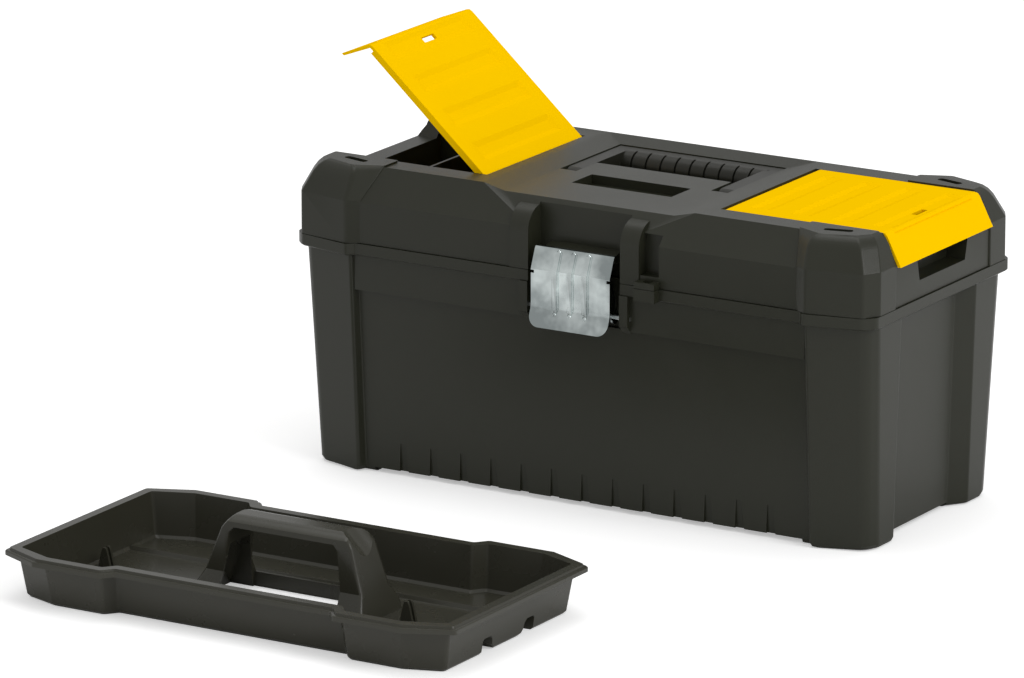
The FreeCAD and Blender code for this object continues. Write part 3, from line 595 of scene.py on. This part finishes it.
# %% [markdown]
# ## The lid's hollow
#
# Under its skin the lid is hollow, apart from the walls of its bins, well and recesses. A Solidify
# modifier would thicken the skin, but it knows nothing of those walls. So the hollow is a solid of
# its own: the space inside the skin, with a block round each bin, well and recess left out of it.

# %% Bins
WALL = 2.6
BIN_LOW_X = 90.5
BIN_HIGH_X = 185
BIN_HALF = 55
BIN_FLOOR = 162.5
SEAT_X = 81.9
SEAT_HALF = 58.4
SEAT_FLOOR = 188.9
BARREL_X = 89.9
BARREL_FLOOR = 186.9
PIN_HALF = 60.6
PIN_FLOOR = 186.6
END_X = 184
END_HALF = 55.5
END_LOW = 180.5
FINGER_X = 188.8
FINGER_HALF = 33
FINGER_LOW = 159


def walled(x_low, x_high, y_low, y_high, z_low, z_high):
    """A block with a wall round its sides and under it."""
    return block(x_low - WALL, x_high + WALL, y_low - WALL, y_high + WALL, z_low - WALL, z_high)


bin_box = (BIN_LOW_X, BIN_HIGH_X, -BIN_HALF, BIN_HALF, BIN_FLOOR, LID_TOP)
bin_walls = [
    walled(*bin_box),
    walled(SEAT_X, LID_X, -SEAT_HALF, SEAT_HALF, BARREL_FLOOR, LID_TOP),
    walled(SEAT_X, BARREL_X, -PIN_HALF, PIN_HALF, PIN_FLOOR, LID_TOP),
    walled(FINGER_X, LID_X, -FINGER_HALF, FINGER_HALF, FINGER_LOW, SEAT_FLOOR),
    walled(END_X, LID_X, -END_HALF, END_HALF, END_LOW, SEAT_FLOOR),
]
print("each bin", BIN_HIGH_X - BIN_LOW_X, "x", 2 * BIN_HALF, "mm")

# %% Well, dish and hollow
WELL_HALF = 59.2
WELL_SIDE = 63.2
WELL_FRONT = -9.9
WELL_BACK = 63.2
WELL_FLOOR = 167.5
TONGUE_HALF = 47.5
TONGUE_BACK = 14.6
DISH_HALF = 35
DISH_FRONT = -36.5
DISH_BACK = -12.4
DISH_FLOOR = 184
FRONT_SPACE = 92.7
POST_SPACE_TOP = 184.9
POST_SPACE_LEAN = 0.5
dish_box = (-DISH_HALF, DISH_HALF, DISH_FRONT, DISH_BACK, DISH_FLOOR, LID_TOP)
well_walls = shaped(
    walled(-WELL_SIDE, WELL_SIDE, WELL_FRONT, WELL_BACK, WELL_FLOOR, LID_TOP),
    cut=[block(WALL - TONGUE_HALF, TONGUE_HALF - WALL, WELL_FRONT, TONGUE_BACK - WALL, LID_LOW,
               PLATE - WALL)])
front_walls = [
    walled(*dish_box),
    walled(-RECESS_HALF, RECESS_HALF, -FRONT_SPACE, -RECESS_Y, LID_LOW, LID_TOP),
    walled(CHANNEL_LOW_X, CHANNEL_HIGH_X, -FRONT_SPACE, -CHANNEL_BACK, LID_LOW, CHANNEL_TOP + WALL),
]
space = loft([lid_ring(LID_LOW - CLEAR, LID_X - WALL, LID_Y - WALL),
              lid_ring(CREASE - WALL, LID_X - WALL, LID_Y - WALL),
              lid_ring(PLATE - WALL, LID_X - CHAMFER_X - WALL, LID_Y - CHAMFER_Y - WALL)])
post_space = loft([post_ring(LID_LOW - CLEAR, 0, WALL), post_ring(CREASE, 0, WALL),
                   post_ring(POST_SPACE_TOP, POST_SPACE_LEAN, WALL)])
hollow = shaped(space, joined=at_corners(post_space),
                cut=[wall for one in bin_walls for wall in both(one, MIRROR_X)]
                + [well_walls, *front_walls])
print("lid hollow", len(hollow.polygons), "faces")

# %% [markdown]
# ## The lid's openings
#
# What a hand or a small part goes into is cut last: the handle's well, into which a tongue of the
# plate stands, the dish, a slot in each post, and the bins with their seats for the yellow lids,
# their dividers and their finger holes. The left side mirrors the right one. The knuckles, the
# padlock tab and the latch's ledge could be drawn again, but they come from the CAD lid, which
# already fits its neighbours. They are sunk a hair into the skin, so that no faces coincide.

# %% Well, dish and slots
SLOT_HALF = 9
SLOT_WIDE = 2.5
SLOT_ROUND = 2.4
SLOT_FLOOR = 187.5
SLOT_TOP = 196.0
SLOT_PLACE = (169, -69.5, 0)
SLOT_TURN = 14
well = shaped(
    block(-WELL_HALF, WELL_HALF, WELL_FRONT, WELL_BACK, WELL_FLOOR, LID_TOP + CLEAR),
    cut=[block(-TONGUE_HALF, TONGUE_HALF, WELL_FRONT - CLEAR, TONGUE_BACK, WELL_FLOOR - CLEAR,
               PLATE)])
dish = block(*dish_box)
slot_outline = [(-SLOT_HALF, -SLOT_WIDE, SLOT_ROUND), (SLOT_HALF, -SLOT_WIDE, SLOT_ROUND),
                (SLOT_HALF, SLOT_WIDE, SLOT_ROUND), (-SLOT_HALF, SLOT_WIDE, SLOT_ROUND)]
slot = loft([rounded(slot_outline, z) for z in (SLOT_FLOOR, SLOT_TOP)])
moved(slot, shift(*SLOT_PLACE) @ Matrix.Rotation(math.radians(SLOT_TURN), 4, "Z"))
print("well", 2 * WELL_HALF, "mm long, slots", 2 * SLOT_HALF, "mm long")

# %% Bin openings and bores
HINGE_X = 86.0
HINGE_Z = 190.6
PIVOT_Z = 184.5
ABOVE = 196.5
DIVIDER_LOW_X = 133.1
DIVIDER_HIGH_X = 134.9
PIN_BORE_HALF = 61.1
PIN_BORE_RADIUS = 1.7
PIVOT_BORE_INNER = 58.2
PIVOT_BORE_OUTER = 63.7
PIVOT_BORE_RADIUS = 3.2
seat = prism_y([(SEAT_X, BARREL_FLOOR), (BARREL_X, BARREL_FLOOR), (BARREL_X, SEAT_FLOOR),
                (192.6, SEAT_FLOOR), (193.1, 191.1), (OUTSIDE_X, 174.5), (206.8, ABOVE),
                (SEAT_X, ABOVE)], -SEAT_HALF, SEAT_HALF)
divider = block(DIVIDER_LOW_X, DIVIDER_HIGH_X, -BIN_HALF - CLEAR, BIN_HALF + CLEAR,
                BIN_FLOOR - CLEAR, SEAT_FLOOR - CLEAR)
bin_space = shaped(block(*bin_box), cut=[divider])
end_cut = prism_x([(-50, END_LOW), (50, END_LOW), (END_HALF, 187.5), (END_HALF, ABOVE),
                   (-END_HALF, ABOVE), (-END_HALF, 187.5)], END_X, OUTSIDE_X)
finger_cut = prism_x([(-FINGER_HALF, 178), (-28.5, FINGER_LOW), (28.5, FINGER_LOW),
                      (FINGER_HALF, 178)], FINGER_X, OUTSIDE_X)
pin_bore = bar((HINGE_X, -PIN_BORE_HALF, HINGE_Z), (HINGE_X, PIN_BORE_HALF, HINGE_Z),
               PIN_BORE_RADIUS)
pivot_bore = bar((PIVOT_BORE_INNER, 0, PIVOT_Z), (PIVOT_BORE_OUTER, 0, PIVOT_Z), PIVOT_BORE_RADIUS)
openings = [hollow, well, dish, *at_corners(slot)]
for one in (seat, bin_space, end_cut, finger_cut, pin_bore, pivot_bore):
    openings += both(one, MIRROR_X)
print("lid openings", len(openings))

# %% Lid
SINK = 0.02


def fitting(box, sink):
    """What the CAD lid has inside a box, sunk a little into the new skin."""
    return moved(shaped(packed("lid_shell"), common=[block(*box)]), shift(*sink))


knuckles = fitting((-150, 150, LID_Y - CLEAR, 110, 140, 170), (0, -SINK, SINK))
tab = fitting((45, 59, -OUTSIDE_Y, CLEAR - LID_Y, 147, 156), (0, SINK, SINK))
ledge = fitting((-26, 26, -OUTSIDE_Y, CLEAR - RECESS_Y, 155, 166), (0, SINK, 0))
lid_mesh = shaped(shaped(skin, cut=openings), joined=[knuckles, tab, ledge])
moulding("lid", lid_mesh, "lid_shell", "lid", charcoal, edge_mm=0.5)

# %% [markdown]
# ## Yellow lids
#
# Each yellow lid is a sheet that would bend like a card if it were plain. Four shallow pockets
# pressed into it make it stiff, and they catch the light as broad stripes. The sheet bends down
# into a flap, hangs on a barrel with two pins, and has a short skirt along both sides. A bump map
# could fake the pockets, but the sheet also has bosses under them, so both are real. Their sides
# slope so little that edges here are rounded from a much smaller angle.

# %% Pockets
POCKETS = 4
POCKET_WIDTH = 14.0
POCKET_START = 95.0
POCKET_HALF = 45.5
POCKET_SLOPE = 3.7
POCKET_LEVELS = (1.0, -0.5)


def pocket(index, grow, drop):
    """A shallow pocket across the right lid, with sloped sides, or the boss under it."""
    middle = POCKET_START + POCKET_WIDTH * (2 * index + 0.5)
    rings = []
    for depth in POCKET_LEVELS:
        half_x = POCKET_WIDTH / 2 - POCKET_SLOPE * depth + grow
        half_y = POCKET_HALF - POCKET_SLOPE * depth + grow
        z = LID_TOP - depth - drop
        rings.append([(middle - half_x, -half_y, z), (middle + half_x, -half_y, z),
                      (middle + half_x, half_y, z), (middle - half_x, half_y, z)])
    return loft(rings)


print("pockets", POCKETS, "each", POCKET_WIDTH, "mm wide")

# %% Yellow lids
SHEET = 2.0
SHEET_HALF = 58.0
SHEET_END = 192.2
FLAP_X = 205
FLAP_LOW = 173.5
BARREL_RADIUS = 2.9
PIN_RADIUS = 1.5
SIDE_END = 190.6
SIDE_LOW = 189.3
SIDE_TOP = 193
CATCH_LOW_X = 183.6
CATCH_HIGH_X = 187.6
CATCH_HALF = 7
CATCH_LOW = 188.5
SHEET_ANGLE = 8
OPEN_ANGLE = 41.5


def yellow_lid():
    """The right lid, closed."""
    under = LID_TOP - SHEET
    sheet = prism_y([
        (HINGE_X, LID_TOP), (SHEET_END, LID_TOP), (194.3, 193.0), (195.7, 191.4),
        (FLAP_X, FLAP_LOW), (FLAP_X - SHEET, FLAP_LOW), (193.4, under), (HINGE_X, under),
    ], -SHEET_HALF, SHEET_HALF)
    barrel = bar((HINGE_X, -SHEET_HALF, HINGE_Z), (HINGE_X, SHEET_HALF, HINGE_Z), BARREL_RADIUS)
    pins = bar((HINGE_X, -PIN_HALF, HINGE_Z), (HINGE_X, PIN_HALF, HINGE_Z), PIN_RADIUS)
    skirt = block(HINGE_X, SIDE_END, -SHEET_HALF, SHEET - SHEET_HALF, SIDE_LOW, SIDE_TOP)
    bosses = [pocket(index, grow=1.0, drop=SHEET) for index in range(POCKETS)]
    pockets = [pocket(index, grow=0.0, drop=0.0) for index in range(POCKETS)]
    catch = block(CATCH_LOW_X, CATCH_HIGH_X, -CATCH_HALF, CATCH_HALF, CATCH_LOW, LID_TOP + CLEAR)
    return shaped(sheet, joined=[barrel, pins, *both(skirt, MIRROR_Y), *bosses],
                  cut=[catch, *pockets])


hinge = shift(-HINGE_X, 0, HINGE_Z)
opened = hinge @ Matrix.Rotation(math.radians(OPEN_ANGLE), 4, "Y") @ hinge.inverted() @ MIRROR_X
moulding("right_yellow_lid", yellow_lid(), "right_organiser_lid", "right_organiser",
         yellow, edge_mm=0.3, angle=SHEET_ANGLE)
moulding("left_yellow_lid", moved(yellow_lid(), opened), "left_organiser_lid", "left_organiser",
         yellow, edge_mm=0.3, angle=SHEET_ANGLE)

# %% [markdown]
# ## The handle
#
# The handle turns in the sides of its well. Its grip is a round bar with rings, backed by a plain
# spine, and its two arms are deeper near the grip. The grip could be spun from one profile, but
# rings set on a bar by a loop are easier to count and space. The spine and the arms stay inside one
# large cylinder about the pivots, because that clears the back of the well as the handle swings.

# %% Grip
GRIP_Y = 54.0
GRIP_Z = 181.0
GRIP_RADIUS = 8.6
GRIP_HALF = 51.75
SHAFT_RADIUS = 6.95
SHAFT_HALF = 57.0
RINGS = 10
GROOVE = 1.4
shaft = bar((-SHAFT_HALF, GRIP_Y, GRIP_Z), (SHAFT_HALF, GRIP_Y, GRIP_Z), SHAFT_RADIUS)
pitch = 2 * GRIP_HALF / RINGS
rings = []
for index in range(RINGS):
    low = index * pitch - GRIP_HALF + GROOVE / 2
    rings.append(bar((low, GRIP_Y, GRIP_Z), (low + pitch - GROOVE, GRIP_Y, GRIP_Z), GRIP_RADIUS))
print("rings", RINGS, "every", pitch, "mm")

# %% Spine, arms and pivots
REACH = 62.8
REACH_HALF = 60
REACH_SIDES = 128
HANDLE_HALF = 58.4
ARM_INNER = 48.8
ARM_TOP = 189.4
ARM_LOW = 180.05
SPINE_LOW = 174
SPINE_BACK = 63.2
EYE_INNER = 49.0
EYE_OUTER = 58.2
EYE_RADIUS = 4.8
PIVOT_INNER = 57.4
PIVOT_OUTER = 62.4
PIVOT_RADIUS = 3.0
reach = bar((-REACH_HALF, 0, PIVOT_Z), (REACH_HALF, 0, PIVOT_Z), REACH, REACH_SIDES)
spine = shaped(block(-HANDLE_HALF, HANDLE_HALF, GRIP_Y, SPINE_BACK, SPINE_LOW, ARM_TOP),
               common=[reach])
arm = shaped(prism_x([(0, ARM_TOP), (0, ARM_LOW), (35.4, ARM_LOW), (45.4, SPINE_LOW),
                      (SPINE_BACK, SPINE_LOW), (SPINE_BACK, ARM_TOP)], ARM_INNER, HANDLE_HALF),
             common=[reach])
eye = bar((EYE_INNER, 0, PIVOT_Z), (EYE_OUTER, 0, PIVOT_Z), EYE_RADIUS)
pivot = bar((PIVOT_INNER, 0, PIVOT_Z), (PIVOT_OUTER, 0, PIVOT_Z), PIVOT_RADIUS)
handle_mesh = shaped(shaft, joined=[*rings, spine, *both(arm, MIRROR_X), *both(eye, MIRROR_X),
                                    *both(pivot, MIRROR_X)])
moulding("handle", handle_mesh, "carrying_handle", "handle", handle_charcoal,
         edge_mm=0.4)

# %% [markdown]
# ## The tray's shell
#
# The tray is one thin moulding: a tapered shell with a lip that is open underneath. It could be a
# surface with a thickness, but its lip folds back beside its wall, so lofts are joined and cut. It
# is built about its own middle and put in its place at the end.

# %% Tray outline
TRAY_X = 155.2
TRAY_Y = 87.0
TRAY_DRAFT = 4.5
WAIST_X = 74
WAIST_END = 80
WAIST_DEEP = 7.5
TRAY_CUT_X = 28.5
TRAY_CUT_Y = 13
TRAY_ROUND = 3
CORNER_SHIFT = 0.4


def tray_ring(z, share, inset=0.0):
    """The tray's outline at a height; share is 0 at the floor and 1 at the rim."""
    shrink = TRAY_DRAFT * (1 - share) + inset
    x = TRAY_X - shrink
    y = TRAY_Y - shrink
    turn = shrink * CORNER_SHIFT
    return rounded(all_round([
        (WAIST_X + turn, y - WAIST_DEEP, TRAY_ROUND),
        (WAIST_END + turn, y, TRAY_ROUND),
        (x - TRAY_CUT_X + turn, y, TRAY_ROUND),
        (x, y - TRAY_CUT_Y + turn, TRAY_ROUND),
    ]), z)


print("tray", 2 * TRAY_X, "x", 2 * TRAY_Y, "mm at its rim")

# %% Tray shell
TRAY_TOP = 30.0
TRAY_LIP = 6.4
TRAY_WALL = 2.0
TRAY_FLOOR = 2.2
BEAD = 1.5
SKIRT = 4.5
LIP_ROUND = 0.6
FOOT_INSET = 1.6
FOOT_RISE = 1.7
INNER_INSET = 1.5
INNER_RISE = 1.6
shoulder = TRAY_TOP - BEAD
inside = TRAY_LIP + TRAY_WALL
walls = loft([tray_ring(0, 0, TRAY_LIP + FOOT_INSET), tray_ring(FOOT_RISE, 0.05, TRAY_LIP),
              tray_ring(shoulder, 1, TRAY_LIP)])
lip = loft([tray_ring(TRAY_TOP - SKIRT, 1), tray_ring(shoulder - LIP_ROUND, 1),
            tray_ring(shoulder, 1, LIP_ROUND), tray_ring(shoulder + 0.2, 1, TRAY_WALL),
            tray_ring(TRAY_TOP, 1, TRAY_WALL + 0.5)])
under_lip, kept_wall = [loft([tray_ring(TRAY_TOP - SKIRT - CLEAR, 1, inset),
                              tray_ring(shoulder - TRAY_WALL, 1, inset)])
                        for inset in (TRAY_WALL, TRAY_LIP)]
tray_space = loft([tray_ring(TRAY_FLOOR, 0.08, inside + INNER_INSET),
                   tray_ring(TRAY_FLOOR + INNER_RISE, 0.14, inside),
                   tray_ring(TRAY_TOP + CLEAR, 1, inside)])
tray_shell = shaped(walls, joined=[lip], cut=[shaped(under_lip, cut=[kept_wall]), tray_space])
print("tray shell", len(tray_shell.polygons), "faces")

# %% [markdown]
# ## The carrying arch
#
# The arch is what lifts the tray out. It has a crowned top and a scooped end for the fingers, and
# its legs are hollow from below, as a moulding of even thickness has to be. A swept profile would
# give one section all along, but this arch is broad at its foot and slim at its top, so it is a
# loft with a tunnel, two legs and a scoop cut out of it.

# %% Arch
ARCH_TOP = 48.0
ARCH_RIGHT = 3.5
ARCH_SPREAD = 1.2
ARCH_ROUND = 2.5
CURB = 9.0
# Each level is a height, half a length and half a width.
ARCH_LEVELS = ((0.0, 61.3, 22.0), (CURB, 57.7, 21.5), (18.0, 53.5, 15.5), (44.0, 43.6, 13.5),
               (ARCH_TOP, 40.5, 12.3), (50.2, 38.8, 9.0), (51.2, 38.0, 5.0))
arch_rings = []
for z, half_x, half_y in ARCH_LEVELS:
    right = half_x + ARCH_RIGHT * min(1, ARCH_SPREAD * z / ARCH_TOP)
    arch_rings.append(rounded([(-half_x, -half_y, ARCH_ROUND), (right, -half_y, ARCH_ROUND),
                               (right, half_y, ARCH_ROUND), (-half_x, half_y, ARCH_ROUND)], z))
arch = loft(arch_rings)
print("arch", ARCH_LEVELS[-1][0], "mm high")

# %% Tunnel, legs and scoop
TUNNEL_HALF = 41.5
TUNNEL_TOP = 45
TUNNEL_WIDE = 24
FLOOR_HOLE_HALF = 19.5
SCOOP = 15.0
SCOOP_X = 38.5
LEG_NEAR = 35.5
# Each level is a height, the far end of a leg's hollow and half its width.
LEG_LEVELS = ((-1.0, 57.7, 18.1), (CURB, 53.3, 16.6), (ARCH_TOP - 14, 43.9, 10.5))
tunnel = prism_y([(-TUNNEL_HALF, CURB), (TUNNEL_HALF, CURB), (37.5, 42), (34.5, TUNNEL_TOP),
                  (-34.5, TUNNEL_TOP), (-37.5, 42)], -TUNNEL_WIDE, TUNNEL_WIDE)
floor_hole = block(-TUNNEL_HALF, TUNNEL_HALF, -FLOOR_HOLE_HALF, FLOOR_HOLE_HALF, -CLEAR,
                   CURB + CLEAR)
scoop_end = Vector((SCOOP_X, 0, ARCH_TOP)) + Vector((1, 0, 1)) * SCOOP * math.sqrt(0.5)
scoop = bar(scoop_end - Vector((11, 0, -11)), scoop_end + Vector((34, 0, -34)), SCOOP, sides=96)
leg_rings = []
for z, far, half_y in LEG_LEVELS:
    leg_rings.append([(LEG_NEAR, -half_y, z), (far, -half_y, z), (far, half_y, z),
                      (LEG_NEAR, half_y, z)])
legs = both(loft(leg_rings), MIRROR_X)
print("tunnel", 2 * TUNNEL_HALF, "mm long,", TUNNEL_TOP - CURB, "mm high")

# %% [markdown]
# ## Ridges, fins and notches
#
# Two low ridges stiffen the tray's floor, two pairs of small fins hold a divider, and two notches
# under its right end have covers over them inside. Each is an outline of a few points that is made
# into a prism and mirrored. A cover is its notch grown by the wall, and what it has in common with
# the tray's own walls keeps it from standing out of the end.

# %% Ridges and fins
ROOT = 1.7
RIDGE_Y = 40
RIDGE_TOP = 4.4
RIDGE_HALF = 142
FIN_PLACES = (-133.0, 77.5)
FIN_NEAR_Y = 1.0
FIN_FAR_Y = 2.8
FIN_BEND = 12.5
FIN_TOP = 14.7
ridge = prism_x([(RIDGE_Y - 3.5, ROOT), (RIDGE_Y + 3.5, ROOT), (RIDGE_Y + 1.5, RIDGE_TOP),
                 (RIDGE_Y - 1.5, RIDGE_TOP)], -RIDGE_HALF, RIDGE_HALF)
ridges = both(ridge, MIRROR_Y)
fins = []
for x in FIN_PLACES:
    fin = prism_y([(x - 4.5, ROOT), (x + 4.5, ROOT), (x + 2, FIN_BEND), (x + 1, FIN_TOP),
                   (x - 1, FIN_TOP), (x - 2, FIN_BEND)], FIN_NEAR_Y, FIN_FAR_Y)
    fins += both(fin, MIRROR_Y)
print("ridges", len(ridges), "and fins", len(fins))

# %% Notches, and the tray
TRAY_PLACE = (-41.0, -340.4, 0)
NOTCH_X = 130.2
NOTCH_INNER = 18.0
NOTCH_OUTER = 28.5
NOTCH_TOP = 9.5


def notch(margin):
    """Both notches under the right end, or the covers over them when grown by a margin."""
    inner = NOTCH_INNER - margin
    outer = NOTCH_OUTER + margin
    top = NOTCH_TOP + margin
    low = margin * 0.9 - 1
    outline = [(outer, low), (outer, top - 1.5), (outer - 1.5, top), (inner + 2, top),
               (inner, top - 2), (inner - 0.9, 3.5 + margin * 0.4),
               (inner - 3.5, 0.9 + margin * 0.9), (inner - 7, low)]
    return both(prism_x(outline, NOTCH_X - margin, TRAY_X), MIRROR_Y)


covers = [shaped(cover, common=[walls]) for cover in notch(TRAY_WALL)]
tray_mesh = shaped(tray_shell, joined=[arch, *covers, *ridges, *fins],
                   cut=[tunnel, floor_hole, scoop, *legs, *notch(0)])
moved(tray_mesh, shift(*TRAY_PLACE))
moulding("lift_out_tray", tray_mesh, "tray", "tray", tray_charcoal, edge_mm=0.4)

# %% [markdown]
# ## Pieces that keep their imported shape
#
# The base already has the real outline, so it only gets rounded edges. The latch plate gets bolder
# ribs, each with a step along both sides: they could be bumps in the material, but the light has to
# bend at them, so they are joined to the plate. The pins and rods stay as they are, in steel.

# %% Base
moulding("base", packed("base_shell"), "base_shell", "base", charcoal, edge_mm=0.5)

# %% Steel
LATCH_FACE = -96.8
LATCH_CREASE = 150.6
RIB_LOW = 124
RIB_TOP = 162
RIB_PITCH = 10.5
# Each step of a rib is half its width and how far it stands out.
RIB_STEPS = ((2.4, 0.5), (1.5, 1.1))
ribs = []
for half, proud in RIB_STEPS:
    outline = [(LATCH_FACE - proud, RIB_LOW), (LATCH_FACE - proud, LATCH_CREASE),
               (-92 - proud, RIB_TOP), (-91.4, RIB_TOP), (-96.2, LATCH_CREASE), (-96.2, RIB_LOW)]
    for index in (-1, 0, 1):
        x = index * RIB_PITCH
        ribs.append(prism_x(outline, x - half, x + half))
plate_mesh = shaped(packed("latch_plate"), joined=ribs)
moulding("steel_latch", plate_mesh, "latch_plate", "latch", zinc, edge_mm=0.3)
for node in ("latch_pin", "left_hinge_rod", "right_hinge_rod"):
    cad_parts[node].data.materials[0] = pin_steel
    print(node, "in", pin_steel.name)

# %% [markdown]
# ## What sees the backdrop
#
# A studio backdrop is white to the eye, while the light on the object is plain. Stronger lamps
# would also bleach the object, so the floor and the room are brighter for camera rays alone, which
# Light Path tells apart. Reflections don't see that extra brightness: in this script the steel
# reflects the room's plain level.

# %% Backdrop helper


def backdrop_seen(tree):
    """1 for the rays that look at the backdrop straight, and 0 for all others."""
    path = tree.nodes.new("ShaderNodeLightPath")
    return path.outputs["Is Camera Ray"]


# %% [markdown]
# ## Floor
#
# The object stands on a sheet of white paper, here one large square. It could curve up behind the
# object as a studio sweep does, but the room behind it is just as white. It has no gleam, and it
# keeps the object's soft shadow, while a little glow lifts it to white around that shadow.

# %% Floor
FLOOR_HALF = 14.0
PAPER = 0.93
FLOOR_GLOW = 0.4
floor_form = bmesh.new()
bmesh.ops.create_grid(floor_form, x_segments=1, y_segments=1, size=FLOOR_HALF)
floor_mesh = bpy.data.meshes.new("floor")
floor_form.to_mesh(floor_mesh)
floor_form.free()
floor = bpy.data.objects.new("floor", floor_mesh)
scene.collection.objects.link(floor)
paper = bpy.data.materials.new("floor_paper")
paper.use_nodes = True
paper_tree = paper.node_tree
paper_shader = paper_tree.nodes["Principled BSDF"]
paper_shader.inputs["Base Color"].default_value = (PAPER, PAPER, PAPER, 1)
paper_shader.inputs["Roughness"].default_value = 0.9
paper_shader.inputs["Specular IOR Level"].default_value = 0.0
paper_shader.inputs["Emission Color"].default_value = (1, 1, 1, 1)
glow = calculate(paper_tree, "MULTIPLY", backdrop_seen(paper_tree), FLOOR_GLOW)
paper_tree.links.new(glow, paper_shader.inputs["Emission Strength"])
floor_mesh.materials.append(paper)
print("floor", 2 * FLOOR_HALF, "m wide")

# %% [markdown]
# ## World
#
# The room's light comes from all sides, which fills the shadows as white walls do. It could be an
# image of a room, but a plain level has no colour of its own and lights every side alike.

# %% World
AMBIENT = 0.6
world = bpy.data.worlds.new("studio")
scene.world = world
world.use_nodes = True
sky = world.node_tree
background = sky.nodes["Background"]
background.inputs["Color"].default_value = (1, 1, 1, 1)
level = calculate(sky, "MULTIPLY", backdrop_seen(sky), 1.0 - AMBIENT)
level = calculate(sky, "ADD", level, AMBIENT)
sky.links.new(level, background.inputs["Strength"])
print("ambient light", AMBIENT)

# %% [markdown]
# ## Lamps
#
# Two large square lamps stand for soft boxes: a key from the right and a weaker one overhead.
# Small lamps would draw hard shadows and sparks, while large ones soften both.

# %% Lamps
LAMP_TARGET = (0, -0.1, 0.1)


def soft_lamp(name, place, size, power):
    """A square lamp at a place, aimed at the object."""
    lamp = bpy.data.lights.new(name, "AREA")
    lamp.shape = "SQUARE"
    lamp.size = size
    lamp.energy = power
    holder = bpy.data.objects.new(name, lamp)
    scene.collection.objects.link(holder)
    holder.location = place
    aim = Vector(LAMP_TARGET) - Vector(place)
    holder.rotation_euler = aim.to_track_quat("-Z", "Y").to_euler()
    print(name, "lamp:", power, "W")


soft_lamp("key", (2.6, -0.5, 1.9), size=1.4, power=30)
soft_lamp("overhead", (-0.4, 0.4, 2.6), size=1.8, power=14)

# %% [markdown]
# ## Camera
#
# A long lens from about five metres away draws the box with little perspective. A short lens close
# by would fill the frame too, but it would swell the near corner.

# %% Camera
LENS = 293.9
SENSOR = 36.0
CAMERA_PLACE = (2.49085, -4.27552, 1.42734)
CAMERA_TILT = 74.85
CAMERA_TURN = 31.21
camera_data = bpy.data.cameras.new("camera")
camera_data.lens = LENS
camera_data.sensor_width = SENSOR
camera_data.clip_end = 60.0
camera = bpy.data.objects.new("camera", camera_data)
camera.location = CAMERA_PLACE
camera.rotation_euler = (math.radians(CAMERA_TILT), 0.0, math.radians(CAMERA_TURN))
scene.collection.objects.link(camera)
scene.camera = camera
scene.view_settings.view_transform = "Standard"
print("camera", round(Vector(CAMERA_PLACE).length, 2), "m away")
